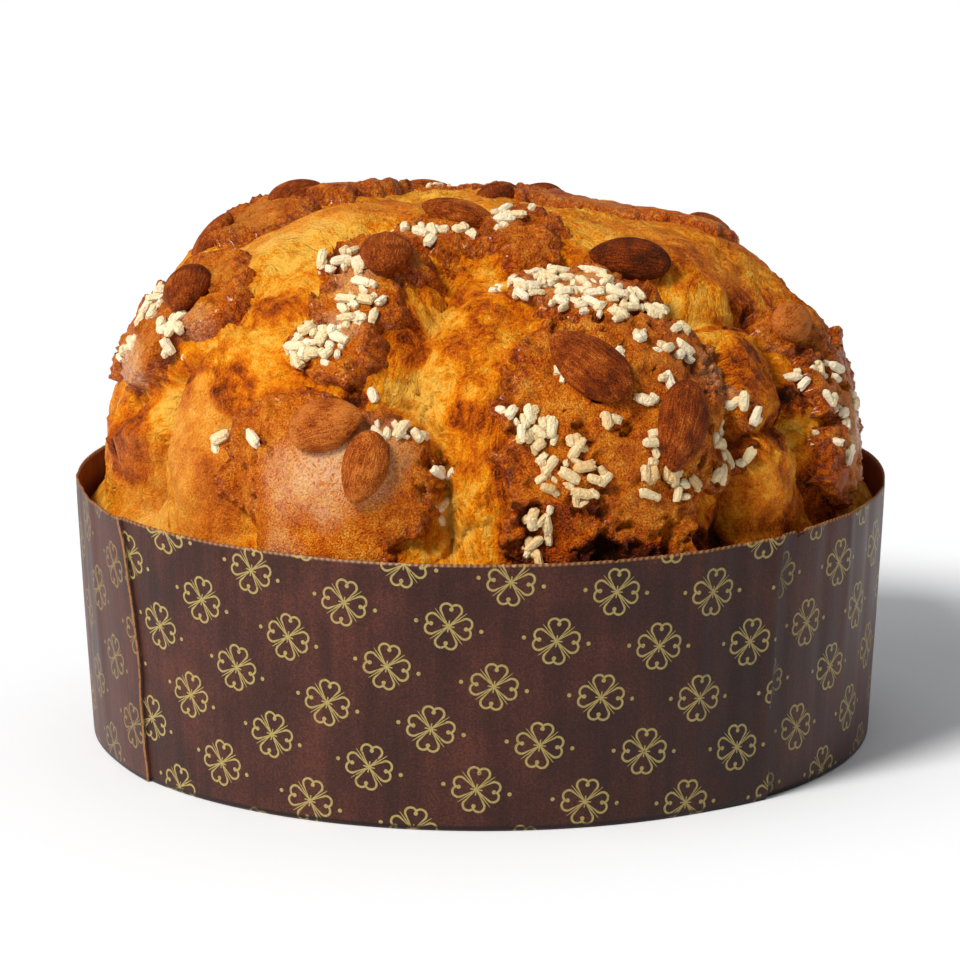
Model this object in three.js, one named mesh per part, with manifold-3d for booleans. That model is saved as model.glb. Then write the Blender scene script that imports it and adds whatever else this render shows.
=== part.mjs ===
// A low, domed almond panettone in its brown paper baking case.
//
// The loaf is one solid: a flat-bottomed round cake that rises out of the case as a lopsided dome.
// Plates of almond glaze lie on it, torn apart as it rose, with swollen crumb and deep tears between them.
// Coarse pearl sugar is baked onto the glaze, and whole almonds sit in pockets pressed into it.
// The case is a thin paper cup, wound from three sheets whose overlapping edges stand slightly proud.
//
// Units are millimetres, +Z up. The origin is the middle of the case's underside and the front faces -Y.
import * as THREE from "three";
import { mergeVertices } from "three/addons/utils/BufferGeometryUtils.js";
import Module from "manifold-3d";

const wasm = await Module();
wasm.setup();

// Driving dimensions of the case.
const CASE = {
  baseRadius: 105,
  rimRadius: 108.5,
  height: 70,
  paper: 0.8,
  floor: 1.2,
  turnUpRadius: 0.8, // the base edge, where the wall's paper turns under
  tabWidth: 12, // the ring of glued tabs that the case stands on
  tabRecess: 0.6, // the base disc lies this far above the tabs
  sheetLift: 1.1, // how far an overlapping sheet's edge stands proud
  overlapSpan: 13, // degrees over which the sheet rises to that edge
};
// The free edges of the three sheets: azimuth from the front, and how far its top end leans, in degrees.
const SEAMS = [
  { azimuth: -55.2, lean: -4 },
  { azimuth: 43.8, lean: 1.4 },
  { azimuth: 160, lean: 2 },
];

// Driving dimensions of the loaf's dome.
const DOME = {
  radius: 102,
  sideways: 1.8, // the right side is this much fuller, and the left side slimmer
  rise: 70.4,
  equator: 76, // height of its widest ring above the table
  squareness: 2.34, // superellipse power of its profile
  squarenessShift: -0.24, // the right shoulder is rounder than the left
  lean: 1.9, // the crown drops this much towards the right
};
const FIT_GAP = 0.3; // clearance between pieces that touch
const SKIRT_DROP = 20; // below the equator the loaf meets the paper over this height
const SKIRT_SCALE = 1.6; // millimetres of skirt for each degree of plan beyond the equator
const PLAN_EDGE = 90 + SKIRT_DROP / SKIRT_SCALE;
const LOAF_GRID = 44; // cells across the loaf's square grid
const FOOT_ROUND = 3; // rounding of the loaf's bottom edge
const CASE_COLUMNS = 54; // upright edges of the case's wall, besides two at each seam
const COLUMN_GAP = 1.6; // degrees from a seam within which an even column is left out

// Depths of the relief. The dome's own surface runs through the middle of it.
const GLAZE = { thickness: 3.4, edgeWidth: 1.9, lip: 0.7, wander: 2.6, wanderLength: 13 };
const CRUMB = { swell: 1.5, swellLength: 21, lump: 0.9, lumpLength: 8.5 };
const RELIEF_MIDDLE = 3.4;

// The plan: [right, back] in degrees of arc from the crown, with the front at negative back.
// Each oval is a centre, two half sizes and a turn, all in those degrees.
const oval = (right, back, halfRight, halfBack, turn = 0, amount = 1) => ({
  right,
  back,
  halfRight,
  halfBack,
  turn: (turn * Math.PI) / 180,
  amount,
});

const GLAZE_PLATES = [
  // left shoulder
  oval(-47, -21.5, 11.5, 12.5),
  oval(-60, -24, 13, 10),
  oval(-66, -7, 11, 13),
  // back left strip
  oval(-33, 4.5, 9, 11, -20),
  oval(-22, 15, 12, 9, 20),
  // centre left
  oval(-14.5, -28, 7.5, 8),
  oval(-19, -40, 8, 9.5),
  oval(-24.5, -51.5, 9.5, 7.5, 20),
  // crown
  oval(-5.5, -19.5, 6.5, 5.5),
  oval(5.5, -18, 5.5, 8),
  // front left bulge
  oval(-38, -68, 19, 10, -14),
  oval(-25, -79, 17, 14),
  // front right, the largest
  oval(17, -38, 14, 10.5, -20),
  oval(21.5, -55, 17, 13),
  oval(28, -69, 19, 14),
  oval(14, -81, 11, 9),
  oval(46, -60, 10.5, 12.5),
  oval(14, -67, 11, 12),
  oval(16, -89, 12, 8),
  oval(33, -48, 9, 9),
  oval(36, -80, 12, 9),
  oval(-42, -82, 13.5, 14),
  // right shoulder
  oval(54, -20.5, 7, 6.5),
  oval(69, -22, 12, 11),
  oval(79, -30, 10, 15),
  oval(75, -6, 12, 11),
  // smooth strip behind the crown
  oval(22, 6, 19, 7, -6),
  // the back
  oval(-2, 37, 17, 10, 8),
  oval(40, 33, 13, 15, 30),
  oval(-46, 38, 15, 14, -30),
  oval(6, 68, 20, 15),
  oval(50, 62, 13, 11, 40),
  oval(-40, 70, 15, 13, 20),
];
// Crumb that swelled up between the plates, and by how many millimetres.
const SWELLINGS = [
  oval(-47, 5, 9, 10, 0, 2.6),
  oval(-27, 14, 10, 7, 10, 2.4),
  oval(-10, 3, 6, 7, 0, -2.4),
  oval(18, 7, 9, 9, 0, -3.4),
  oval(60, -6, 9, 12, 0, 3.2),
  oval(-19, -9, 17, 7, 14, 3.2),
  oval(26, -13, 15, 8, -8, 2.6),
  oval(44, -40, 8, 10, 20, 3),
  oval(-56, -22, 14, 12, 0, 1.6),
  oval(-46, -42, 11, 8, -20, 2.4),
  oval(-63, -59, 12, 15, -40, 4.6),
  oval(-33, -77, 17, 14, 0, 5),
  oval(1, -75, 6, 15, 0, 2.4),
  oval(27, -62, 19, 19, 0, 3.6),
  oval(60, -60, 8, 10, 50, 3.4),
  oval(80, -24, 12, 16, 10, 0.8),
  oval(-9, -43, 5, 7, 0, -1.8),
  oval(18, 24, 16, 5, 0, 0.8),
  oval(-22, 54, 12, 6, 0, 3.2),
  oval(30, 50, 9, 6, 30, 3),
  oval(-46, 40, 15, 13, 0, 2),
  oval(37, 0, 15, 11, 0, 3.6),
  oval(78, -6, 9, 13, 0, -3.6),
  oval(-8, 11, 6, 6, 0, -1.8),
  oval(6, 72, 18, 14, 0, 3),
  oval(-70, 30, 14, 12, 0, 3),
  oval(70, 40, 14, 14, 0, 3),
  oval(-85, -16, 8, 20, 0, 3.8),
  oval(40, -24, 9, 4, -20, 1.6),
  oval(68, -58, 9, 10, 40, 1.6),
];
// Tears: a line of plan points, how deep it is in millimetres and how wide in degrees.
const TEARS = [
  { deep: -2.2, wide: 2, line: [[-83, -24], [-77, -34], [-70, -43]] },
  { deep: 4, wide: 2.2, line: [[27, -34], [35, -32], [41, -28], [47, -21]] },
  { deep: 9, wide: 4, line: [[-4, -28], [-7.5, -40], [-10, -50], [-12, -60]] },
  { deep: 5, wide: 2.6, line: [[-4, -28], [1, -29], [8, -27]] },
  { deep: 5.5, wide: 2.6, line: [[13, -26], [26, -28], [35, -38], [43, -48], [50, -57]] },
  { deep: 8, wide: 3.2, line: [[-14, -64], [-9, -73], [-8, -81], [-7.5, -94]] },
  { deep: 6.5, wide: 2.8, line: [[50, -57], [54, -64], [58, -71], [61, -80]] },
  { deep: 6.5, wide: 2.8, line: [[41, -22], [53, -30], [62, -40], [72, -46], [84, -48]] },
  { deep: 4.5, wide: 2.6, line: [[-78, -24], [-66, -34], [-54, -38], [-42, -34], [-33, -27]] },
  { deep: 9, wide: 2.4, line: [[-62, -38], [-70, -43.5], [-77, -44.5], [-89, -41]] },
  { deep: 3.6, wide: 2.4, line: [[-38, -6], [-24, -1], [-12, 4]] },
  { deep: 4, wide: 2.6, line: [[-51, -55], [-53.7, -67], [-55.6, -76], [-57, -90]] },
  { deep: 5.4, wide: 3, line: [[-22, 26], [-4, 24], [14, 27], [24, 38]] },
  { deep: 6, wide: 3, line: [[-28, 58], [-10, 51], [8, 51], [26, 57]] },
  { deep: 4.5, wide: 2.6, line: [[62, -42], [56, -50], [50, -57]] },
  { deep: 5.4, wide: 2.8, line: [[62, 8], [58, 22], [62, 44]] },
  { deep: 5.4, wide: 2.8, line: [[-62, 12], [-60, 26], [-58, 44], [-66, 62]] },
];

// Almonds: place in the plan, turn of the long axis in the plan, length, width and lift of its middle.
const ALMOND_THICKNESS = 8.5;
const ALMONDS = [
  { right: -27.6, back: -68.4, turn: -4, length: 20.5, width: 13.6, lift: 1.4 },
  { right: -22.2, back: -77.3, turn: 240, length: 19, width: 11.4, lift: 0.7 },
  { right: -47.5, back: -21.9, turn: 250, length: 19.5, width: 12.8, lift: 1 },
  { right: -42.5, back: 3, turn: 20, length: 20, width: 13.4, lift: -0.8 },
  { right: -25.5, back: 12, turn: 50, length: 20, width: 12.6, lift: -2.4 },
  { right: -13.2, back: -29.8, turn: 264, length: 20, width: 13.4, lift: 1.3 },
  { right: -2.9, back: -14.4, turn: 178, length: 20, width: 12.4, lift: 1.1 },
  { right: 1.6, back: 7, turn: 80, length: 20, width: 12.4, lift: -1.2 },
  { right: 17.6, back: -57, turn: 145, length: 25, width: 14.8, lift: 0.7 },
  { right: 35.5, back: -63.5, turn: 276, length: 24.5, width: 14, lift: 0.9 },
  { right: 21.1, back: -23.1, turn: 172, length: 21.5, width: 12.6, lift: 1.6 },
  { right: 52.2, back: -20.1, turn: 75, length: 17, width: 10.8, lift: 1.3 },
  { right: -8, back: 44, turn: 20, length: 23, width: 13.8, lift: 1.3 },
  { right: 9, back: 43, turn: 110, length: 22, width: 13.4, lift: 1.3 },
  { right: 38, back: 27, turn: 60, length: 24, width: 14, lift: 1.4 },
  { right: 44, back: 41, turn: 330, length: 21, width: 13.2, lift: 1.6 },
  { right: -45, back: 37, turn: 100, length: 23, width: 14.2, lift: 1.5 },
  { right: 0, back: 66, turn: 200, length: 22.5, width: 13.6, lift: 1.3 },
  { right: 15, back: 75, turn: 320, length: 21.5, width: 13.8, lift: 1.3 },
  { right: -41, back: 70, turn: 60, length: 23.5, width: 14, lift: 1.3 },
];

// Pearl sugar: ovals of the plan that it landed in, with the number of grains in each as the amount.
const SUGAR_PATCHES = [
  oval(14.8, -37.4, 12.5, 6.6, -12, 18),
  oval(-19.4, -29, 3.8, 4.4, 0, 4),
  oval(-18, -41.5, 3.8, 6.8, 0, 5),
  oval(-28, -49.6, 5.6, 5.2, 0, 8),
  oval(-6, -20.2, 4.8, 1.4, 0, 4),
  oval(3.8, -15, 3, 1.8, 0, 3),
  oval(-54.5, -29, 4.4, 5, 0, 4),
  oval(-57, -13.5, 5, 7, 0, 5),
  oval(-67, -19, 3.6, 5, 0, 2),
  oval(9, -70.7, 5, 3.4, -20, 6),
  oval(17.5, -78, 6.6, 6, 0, 7),
  oval(12.6, -89, 2.6, 5.4, -14, 4),
  oval(50, -57, 5, 9.5, 0, 8),
  oval(24, -60, 13, 12, 0, 7),
  oval(37, -73, 6.6, 5.6, 20, 6),
  oval(32, -45, 3.4, 4.4, 0, 3),
  oval(64, -26, 8, 7, 0, 4),
  oval(75, -28, 7, 13, 0, 4),
  oval(-15.5, -71.6, 4.6, 1.6, 0, 3),
  oval(-9.6, -84, 1.8, 5, 0, 2),
  oval(-20, -62, 3, 1, 0, 1),
  oval(-44, -64, 1, 1, 0, 1),
  oval(-54, -57, 1, 1.6, 0, 1),
  oval(-1, 37, 13, 7, 8, 5),
  oval(41, 33, 9, 11, 30, 5),
  oval(-46, 39, 11, 10, -30, 4),
  oval(7, 69, 15, 9, 0, 5),
  oval(50, 62, 9, 7, 40, 3),
  oval(-40, 69, 10, 8, 20, 3),
];
const GRAIN = { length: [3.6, 6], width: [2.4, 3.2], height: 2.7, lift: 0.4, topShare: 0.8, knock: 0.4 };

const RADIAN = Math.PI / 180;
const fraction = (x) => x - Math.floor(x);
const mix = (a, b, t) => a + (b - a) * t;
const smoothstep = (low, high, x) => {
  const t = Math.min(1, Math.max(0, (x - low) / (high - low)));
  return t * t * (3 - 2 * t);
};

// A repeatable draw from 0 to 1 for a whole number, and for a corner of the noise lattice.
const draw = (n) => fraction(Math.sin(n * 12.9898 + 4.1414) * 43758.5453);
const corner = (i, j, k) => fraction(Math.sin(i * 127.1 + j * 311.7 + k * 74.7) * 43758.5453);

// Value noise from -1 to 1: the corners of a cubic lattice, blended smoothly.
function noise(x, y, z) {
  const [i, j, k] = [Math.floor(x), Math.floor(y), Math.floor(z)];
  const [a, b, c] = [x - i, y - j, z - k].map((t) => t * t * (3 - 2 * t));
  let sum = 0;
  for (const [di, wi] of [[0, 1 - a], [1, a]])
    for (const [dj, wj] of [[0, 1 - b], [1, b]])
      for (const [dk, wk] of [[0, 1 - c], [1, c]])
        sum += wi * wj * wk * corner(i + di, j + dj, k + dk);
  return 2 * sum - 1;
}
const noiseAt = (p, length, shift) =>
  noise(p.x / length + shift, p.y / length - shift, p.z / length + 0.5 * shift);

// The case wall's outer radius at a height, before the sheets' overlaps.
const wallRadius = (z) => mix(CASE.baseRadius, CASE.rimRadius, z / CASE.height);

// How far the loaf point lies from an oval's middle: 0 there, 1 on its edge.
function ovalReach(o, right, back) {
  const [dx, dy] = [right - o.right, back - o.back];
  const [c, s] = [Math.cos(o.turn), Math.sin(o.turn)];
  return Math.hypot((c * dx + s * dy) / o.halfRight, (c * dy - s * dx) / o.halfBack);
}

// Distance in plan degrees from a tear's line.
function lineDistance(line, right, back) {
  let nearest = Infinity;
  for (let i = 1; i < line.length; i++) {
    const [[ax, ay], [bx, by]] = [line[i - 1], line[i]];
    const [dx, dy] = [bx - ax, by - ay];
    const t = ((right - ax) * dx + (back - ay) * dy) / (dx * dx + dy * dy);
    const along = Math.min(1, Math.max(0, t));
    nearest = Math.min(nearest, Math.hypot(right - ax - along * dx, back - ay - along * dy));
  }
  return nearest;
}

// The smooth dome under the relief: a superellipse of revolution, then a skirt down to the paper.
function domeBase(right, back) {
  const polar = Math.hypot(right, back);
  const azimuth = Math.atan2(right, -back);
  const theta = Math.min(polar, 90) * RADIAN;
  const [sin, cos] = [Math.sin(theta), Math.cos(theta)];
  const power = DOME.squareness + DOME.squarenessShift * Math.sin(azimuth) * sin;
  const fullRadius = DOME.radius + DOME.sideways * Math.sin(azimuth);
  const share = sin ** (2 / power);
  let radius = fullRadius * share;
  let height = DOME.equator + DOME.rise * cos ** (2 / power);
  height -= DOME.lean * Math.sin(azimuth) * share * cos;
  let normal = [sin ** (2 - 2 / power) / fullRadius, cos ** (2 - 2 / power) / DOME.rise];
  if (polar > 90) {
    const drop = (polar - 90) * SKIRT_SCALE;
    height = DOME.equator - drop;
    const seated = wallRadius(height) - CASE.paper - FIT_GAP;
    radius = mix(fullRadius, seated, smoothstep(0, SKIRT_DROP, drop));
    normal = [1, 0];
  }
  const scale = Math.hypot(...normal);
  const [outward, upward] = [normal[0] / scale, normal[1] / scale];
  return {
    point: new THREE.Vector3(radius * Math.sin(azimuth), -radius * Math.cos(azimuth), height),
    normal: new THREE.Vector3(outward * Math.sin(azimuth), -outward * Math.cos(azimuth), upward),
    drop: Math.max(0, (polar - 90) * SKIRT_SCALE),
  };
}

// Signed distance in plan degrees to the nearest glaze edge, negative on the glaze.
function glazeEdge(p, right, back) {
  const x = right + GLAZE.wander * noiseAt(p, GLAZE.wanderLength, 3.1);
  const y = back + GLAZE.wander * noiseAt(p, GLAZE.wanderLength, 8.7);
  return Math.min(
    ...GLAZE_PLATES.map((o) => (ovalReach(o, x, y) - 1) * Math.min(o.halfRight, o.halfBack)),
  );
}

// Height of the relief above the smooth dome.
function relief(base, right, back) {
  const p = base.point;
  let height = CRUMB.swell * noiseAt(p, CRUMB.swellLength, 1.3) - RELIEF_MIDDLE;
  height += CRUMB.lump * noiseAt(p, CRUMB.lumpLength, 5.9);
  for (const o of SWELLINGS) height += o.amount * Math.exp(-(ovalReach(o, right, back) ** 2));
  for (const tear of TEARS) {
    height -= tear.deep * Math.exp(-lineDistance(tear.line, right, back) / tear.wide);
  }
  const edge = glazeEdge(p, right, back);
  height += GLAZE.thickness * smoothstep(GLAZE.edgeWidth / 2, -GLAZE.edgeWidth / 2, edge);
  height += GLAZE.lip * Math.exp(-(((edge + GLAZE.edgeWidth) / 1.4) ** 2));
  return height * (1 - smoothstep(0.3 * SKIRT_DROP, 0.9 * SKIRT_DROP, base.drop));
}

// A point of the finished surface, kept inside the paper where the case stands round it.
function loafPoint(right, back) {
  const base = domeBase(right, back);
  const p = base.point.clone().addScaledVector(base.normal, relief(base, right, back));
  const room = wallRadius(Math.min(p.z, CASE.height)) - CASE.paper - FIT_GAP;
  const radius = Math.hypot(p.x, p.y);
  if (radius > room) {
    p.x *= room / radius;
    p.y *= room / radius;
  }
  return p;
}

// A frame on the loaf: its point, outward normal, and the plan direction `turn` laid on the surface.
function surfaceFrame(right, back, turn, step = 2.2) {
  const [dx, dy] = [step * Math.cos(turn), step * Math.sin(turn)];
  const along = loafPoint(right + dx, back + dy).sub(loafPoint(right - dx, back - dy));
  const across = loafPoint(right - dy, back + dx).sub(loafPoint(right + dy, back - dx));
  along.normalize();
  const normal = along.clone().cross(across).normalize();
  return { point: loafPoint(right, back), along, normal, side: normal.clone().cross(along) };
}

// Turns lists of points and faces into a geometry with no doubled points.
function geometryOf(points, faces) {
  const geometry = new THREE.BufferGeometry();
  geometry.setAttribute("position", new THREE.Float32BufferAttribute(points.flat(), 3));
  geometry.setIndex(faces.flat());
  return geometry;
}

function solidOf(geometry) {
  const bare = geometry.clone();
  for (const name of Object.keys(bare.attributes)) if (name !== "position") bare.deleteAttribute(name);
  const merged = mergeVertices(bare, 1e-4);
  return new wasm.Manifold(
    new wasm.Mesh({
      numProp: 3,
      vertProperties: merged.attributes.position.array,
      triVerts: new Uint32Array(merged.index.array),
    }),
  );
}

function geometryFrom(solid) {
  const mesh = solid.getMesh();
  const geometry = new THREE.BufferGeometry();
  geometry.setAttribute("position", new THREE.Float32BufferAttribute(mesh.vertProperties, 3));
  geometry.setIndex([...mesh.triVerts]);
  return geometry;
}

// Joins closed rings of equal length into one skin, shut by a point at each end.
function skinOfRings(start, rings, end) {
  const count = rings[0].length;
  const points = [start, ...rings.flat(), end];
  const last = points.length - 1;
  const faces = [];
  for (let i = 0; i < count; i++) {
    const j = (i + 1) % count;
    faces.push([0, 1 + j, 1 + i]);
    for (let r = 0; r + 1 < rings.length; r++) {
      const [low, high] = [1 + r * count, 1 + (r + 1) * count];
      faces.push([low + i, low + j, high + j], [low + i, high + j, high + i]);
    }
    const top = 1 + (rings.length - 1) * count;
    faces.push([top + i, top + j, last]);
  }
  return geometryOf(points, faces);
}

// Lays a square grid on the plan's disc so that cells keep much the same size: rings of squares become circles.
function planOfCell(a, b) {
  const reach = Math.max(Math.abs(a), Math.abs(b));
  if (reach === 0) return [0, 0];
  const eighth = Math.PI / 4;
  let angle = Math.abs(a) >= Math.abs(b) ? (eighth * b) / a : 2 * eighth - (eighth * a) / b;
  if (Math.abs(a) >= Math.abs(b) ? a < 0 : b < 0) angle += Math.PI;
  const polar = PLAN_EDGE * reach ** 1.1;
  return [polar * Math.cos(angle), polar * Math.sin(angle)];
}

// The bare loaf: the relief over the grid, then the side that the paper hides, and a flat bottom.
function bareLoaf() {
  const row = LOAF_GRID + 1;
  const points = [];
  const faces = [];
  for (let j = 0; j < row; j++)
    for (let i = 0; i < row; i++) {
      const cell = [(2 * i) / LOAF_GRID - 1, (2 * j) / LOAF_GRID - 1];
      points.push(loafPoint(...planOfCell(...cell)).toArray());
    }
  for (let j = 0; j < LOAF_GRID; j++)
    for (let i = 0; i < LOAF_GRID; i++) {
      const k = j * row + i;
      const slant = i < LOAF_GRID / 2 === j < LOAF_GRID / 2;
      if (slant) faces.push([k, k + 1, k + row + 1], [k, k + row + 1, k + row]);
      else faces.push([k, k + 1, k + row], [k + 1, k + row + 1, k + row]);
    }
  const rim = [];
  for (let i = 0; i < LOAF_GRID; i++) rim.push(i);
  for (let j = 0; j < LOAF_GRID; j++) rim.push(j * row + LOAF_GRID);
  for (let i = LOAF_GRID; i > 0; i--) rim.push(LOAF_GRID * row + i);
  for (let j = LOAF_GRID; j > 0; j--) rim.push(j * row);
  const footHeight = CASE.floor + FIT_GAP;
  const seat = wallRadius(footHeight) - CASE.paper - FIT_GAP;
  const foot = [
    { radius: seat, height: footHeight + FOOT_ROUND },
    { radius: seat - FOOT_ROUND, height: footHeight },
  ];
  let above = rim;
  for (const { radius, height } of foot) {
    const ring = rim.map((k) => {
      const angle = Math.atan2(points[k][1], points[k][0]);
      points.push([radius * Math.cos(angle), radius * Math.sin(angle), height]);
      return points.length - 1;
    });
    ring.forEach((k, i) => {
      const j = (i + 1) % ring.length;
      faces.push([above[i], k, ring[j]], [above[i], ring[j], above[j]]);
    });
    above = ring;
  }
  points.push([0, 0, footHeight]);
  above.forEach((k, i) => faces.push([k, points.length - 1, above[(i + 1) % above.length]]));
  return solidOf(geometryOf(points, faces));
}

// One almond lying along +X: the blunt end is round, and the end at +X tapers to a soft point.
function almondGeometry({ length, width }, grow = 0) {
  const [stations, around] = [6, 8];
  const [bluntPower, pointPower, fullest] = [0.5, 0.66, 0.43];
  const fullGirth = fullest ** bluntPower * (1 - fullest) ** pointPower;
  const rings = [];
  for (let s = 1; s < stations; s++) {
    const t = 0.5 - 0.5 * Math.cos((Math.PI * s) / stations);
    const girth = (0.5 * t ** bluntPower * (1 - t) ** pointPower) / fullGirth;
    rings.push(
      Array.from({ length: around }, (_, k) => {
        const angle = (2 * Math.PI * k) / around;
        return [
          (t - 0.5) * (length + 2 * grow),
          girth * (width + 2 * grow) * Math.cos(angle),
          girth * (ALMOND_THICKNESS + 2 * grow) * Math.sin(angle),
        ];
      }),
    );
  }
  const half = length / 2 + grow;
  return skinOfRings([-half, 0, 0], rings, [half, 0, 0]);
}

// Places a geometry on the loaf, lifted along the surface's normal.
function seatOn(geometry, frame, lift) {
  const place = new THREE.Matrix4().makeBasis(frame.along, frame.side, frame.normal);
  place.setPosition(frame.point.clone().addScaledVector(frame.normal, lift));
  return geometry.applyMatrix4(place);
}

// One sugar grain: a small block, narrower at the top and knocked out of square.
function grainGeometry(seed) {
  const length = mix(...GRAIN.length, draw(seed + 0.1));
  const width = mix(...GRAIN.width, draw(seed + 0.2));
  const grain = new THREE.BoxGeometry(length, width, GRAIN.height);
  const position = grain.getAttribute("position");
  for (let i = 0; i < position.count; i++) {
    const [x, y, z] = [position.getX(i), position.getY(i), position.getZ(i)];
    const narrow = z > 0 ? GRAIN.topShare : 1;
    const upright = (x > 0 ? 1 : 0) + (y > 0 ? 2 : 0);
    const knock = 1 + GRAIN.knock * (draw(seed + upright) - 0.5);
    position.setXYZ(i, x * narrow * knock, y * narrow * knock, z);
  }
  return grain;
}

// Every grain's place: evenly drawn inside each patch, by a seeded rule.
function sugarGrains() {
  const grains = [];
  SUGAR_PATCHES.forEach((patch, p) => {
    for (let k = 0; k < patch.amount; k++) {
      const seed = 100 * (p + 1) + k;
      const reach = Math.sqrt((k + draw(seed + 0.3)) / patch.amount);
      const angle = 2.39996 * k + 6.2832 * draw(100 * (p + 1) + 0.7);
      const x = patch.halfRight * reach * Math.cos(angle);
      const y = patch.halfBack * reach * Math.sin(angle);
      const [c, s] = [Math.cos(patch.turn), Math.sin(patch.turn)];
      const right = patch.right + c * x - s * y;
      const back = patch.back + s * x + c * y;
      const frame = surfaceFrame(right, back, 6.2832 * draw(seed + 0.5), 1.2);
      grains.push({ seed, frame });
    }
  });
  return grains;
}

// The case: a skin that runs from under the base, up the wall, over the rim and down to the floor inside.
function caseGeometry() {
  const columns = [];
  for (let i = 0; i < CASE_COLUMNS; i++) {
    const azimuth = -180 + (360 * i) / CASE_COLUMNS;
    if (SEAMS.every((seam) => Math.abs(azimuth - seam.azimuth) > COLUMN_GAP)) columns.push(azimuth);
  }
  for (const seam of SEAMS) columns.push(seam.azimuth - 0.25, seam.azimuth + 0.25);
  columns.sort((a, b) => a - b);

  const shifted = (azimuth, z) =>
    SEAMS.reduce((sum, seam) => {
      const near = Math.exp(-(((azimuth - seam.azimuth) / 12) ** 2));
      return sum + seam.lean * near * Math.max(0, z / CASE.height) ** 4;
    }, azimuth);
  const lift = (azimuth) =>
    SEAMS.reduce((most, seam) => {
      const behind = (seam.azimuth - azimuth) / CASE.overlapSpan;
      return behind > 0 && behind < 1 ? Math.max(most, CASE.sheetLift * (1 - behind) ** 1.5) : most;
    }, 0);
  const ring = (radiusAt, z) =>
    columns.map((azimuth) => {
      const angle = shifted(azimuth, z) * RADIAN;
      const radius = radiusAt(azimuth);
      return [radius * Math.sin(angle), -radius * Math.cos(angle), z];
    });
  const outer = (z) => ring((azimuth) => wallRadius(z) + lift(azimuth), z);
  const inner = (z) => ring(() => wallRadius(z) - CASE.paper, z);
  const tabInside = CASE.baseRadius - CASE.tabWidth;
  const rings = [
    ring(() => tabInside - CASE.tabRecess, CASE.tabRecess),
    ring(() => tabInside, 0),
    ring(() => CASE.baseRadius - CASE.turnUpRadius, 0),
    outer(CASE.turnUpRadius),
    outer(CASE.height * 0.5),
    outer(CASE.height * 0.8),
    outer(CASE.height),
    inner(CASE.height),
    inner(CASE.height * 0.8),
    inner(CASE.floor),
  ];
  return skinOfRings([0, 0, CASE.tabRecess], rings, [0, 0, CASE.floor]);
}

const materials = {
  loaf: new THREE.MeshStandardMaterial({ color: 0xb9742f, roughness: 0.6, metalness: 0 }),
  almond: new THREE.MeshStandardMaterial({ color: 0x7d432a, roughness: 0.65, metalness: 0 }),
  paper: new THREE.MeshStandardMaterial({ color: 0x5a3a33, roughness: 0.5, metalness: 0 }),
};

const panettone = new THREE.Group();
function addPiece(name, geometry, material) {
  const mesh = new THREE.Mesh(geometry, material);
  mesh.name = name;
  panettone.add(mesh);
}

const seats = ALMONDS.map((almond) => surfaceFrame(almond.right, almond.back, almond.turn * RADIAN));
const pockets = ALMONDS.map((almond, i) =>
  solidOf(seatOn(almondGeometry(almond, FIT_GAP), seats[i], almond.lift)),
);
const grains = sugarGrains().map(({ seed, frame }) =>
  solidOf(seatOn(grainGeometry(seed), frame, GRAIN.lift)),
);
const sugared = wasm.Manifold.union([bareLoaf(), ...grains]);
const pocketed = sugared.subtract(wasm.Manifold.union(pockets));
// Subtracting a pocket can cut a grain's tip loose, so only the loaf itself is kept.
const [loaf] = pocketed.decompose().sort((a, b) => b.volume() - a.volume());

addPiece("loaf", geometryFrom(loaf), materials.loaf);
ALMONDS.forEach((almond, i) => {
  const name = `almond_${String(i + 1).padStart(2, "0")}`;
  addPiece(name, seatOn(almondGeometry(almond), seats[i], almond.lift), materials.almond);
});
addPiece("paper_case", caseGeometry(), materials.paper);

export default panettone;
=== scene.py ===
"""A low, domed almond panettone in its brown paper baking case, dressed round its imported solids.

The pieces are worked out in millimetres and put into their meshes in metres. The front faces -Y.
"""

import bpy
import numpy as np
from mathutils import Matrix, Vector


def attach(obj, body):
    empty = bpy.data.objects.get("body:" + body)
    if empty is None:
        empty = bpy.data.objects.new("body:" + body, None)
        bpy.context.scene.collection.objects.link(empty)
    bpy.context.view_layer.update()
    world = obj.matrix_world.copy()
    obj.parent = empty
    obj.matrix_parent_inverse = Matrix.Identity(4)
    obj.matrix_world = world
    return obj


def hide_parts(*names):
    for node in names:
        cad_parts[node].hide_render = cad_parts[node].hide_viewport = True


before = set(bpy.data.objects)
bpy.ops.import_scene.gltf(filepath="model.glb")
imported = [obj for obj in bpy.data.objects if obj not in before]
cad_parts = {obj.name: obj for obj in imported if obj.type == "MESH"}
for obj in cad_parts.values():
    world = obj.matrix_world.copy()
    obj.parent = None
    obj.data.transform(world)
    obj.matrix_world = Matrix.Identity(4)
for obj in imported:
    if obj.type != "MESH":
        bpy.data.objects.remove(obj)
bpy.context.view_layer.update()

# Shapes that the solids share: millimetres, and degrees of arc from the crown in the plan.
BASE_RADIUS, RIM_RADIUS, CASE_HEIGHT = 105.0, 108.5, 70.0
MEAN_RADIUS = (BASE_RADIUS + RIM_RADIUS) / 2
PAPER, CASE_FLOOR, TURN_UP, TAB_WIDTH, TAB_RECESS = 0.8, 1.2, 0.8, 12.0, 0.6
SHEET_LIFT, OVERLAP_SPAN, TOOTH = 1.1, 13.0, 1.6
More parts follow.
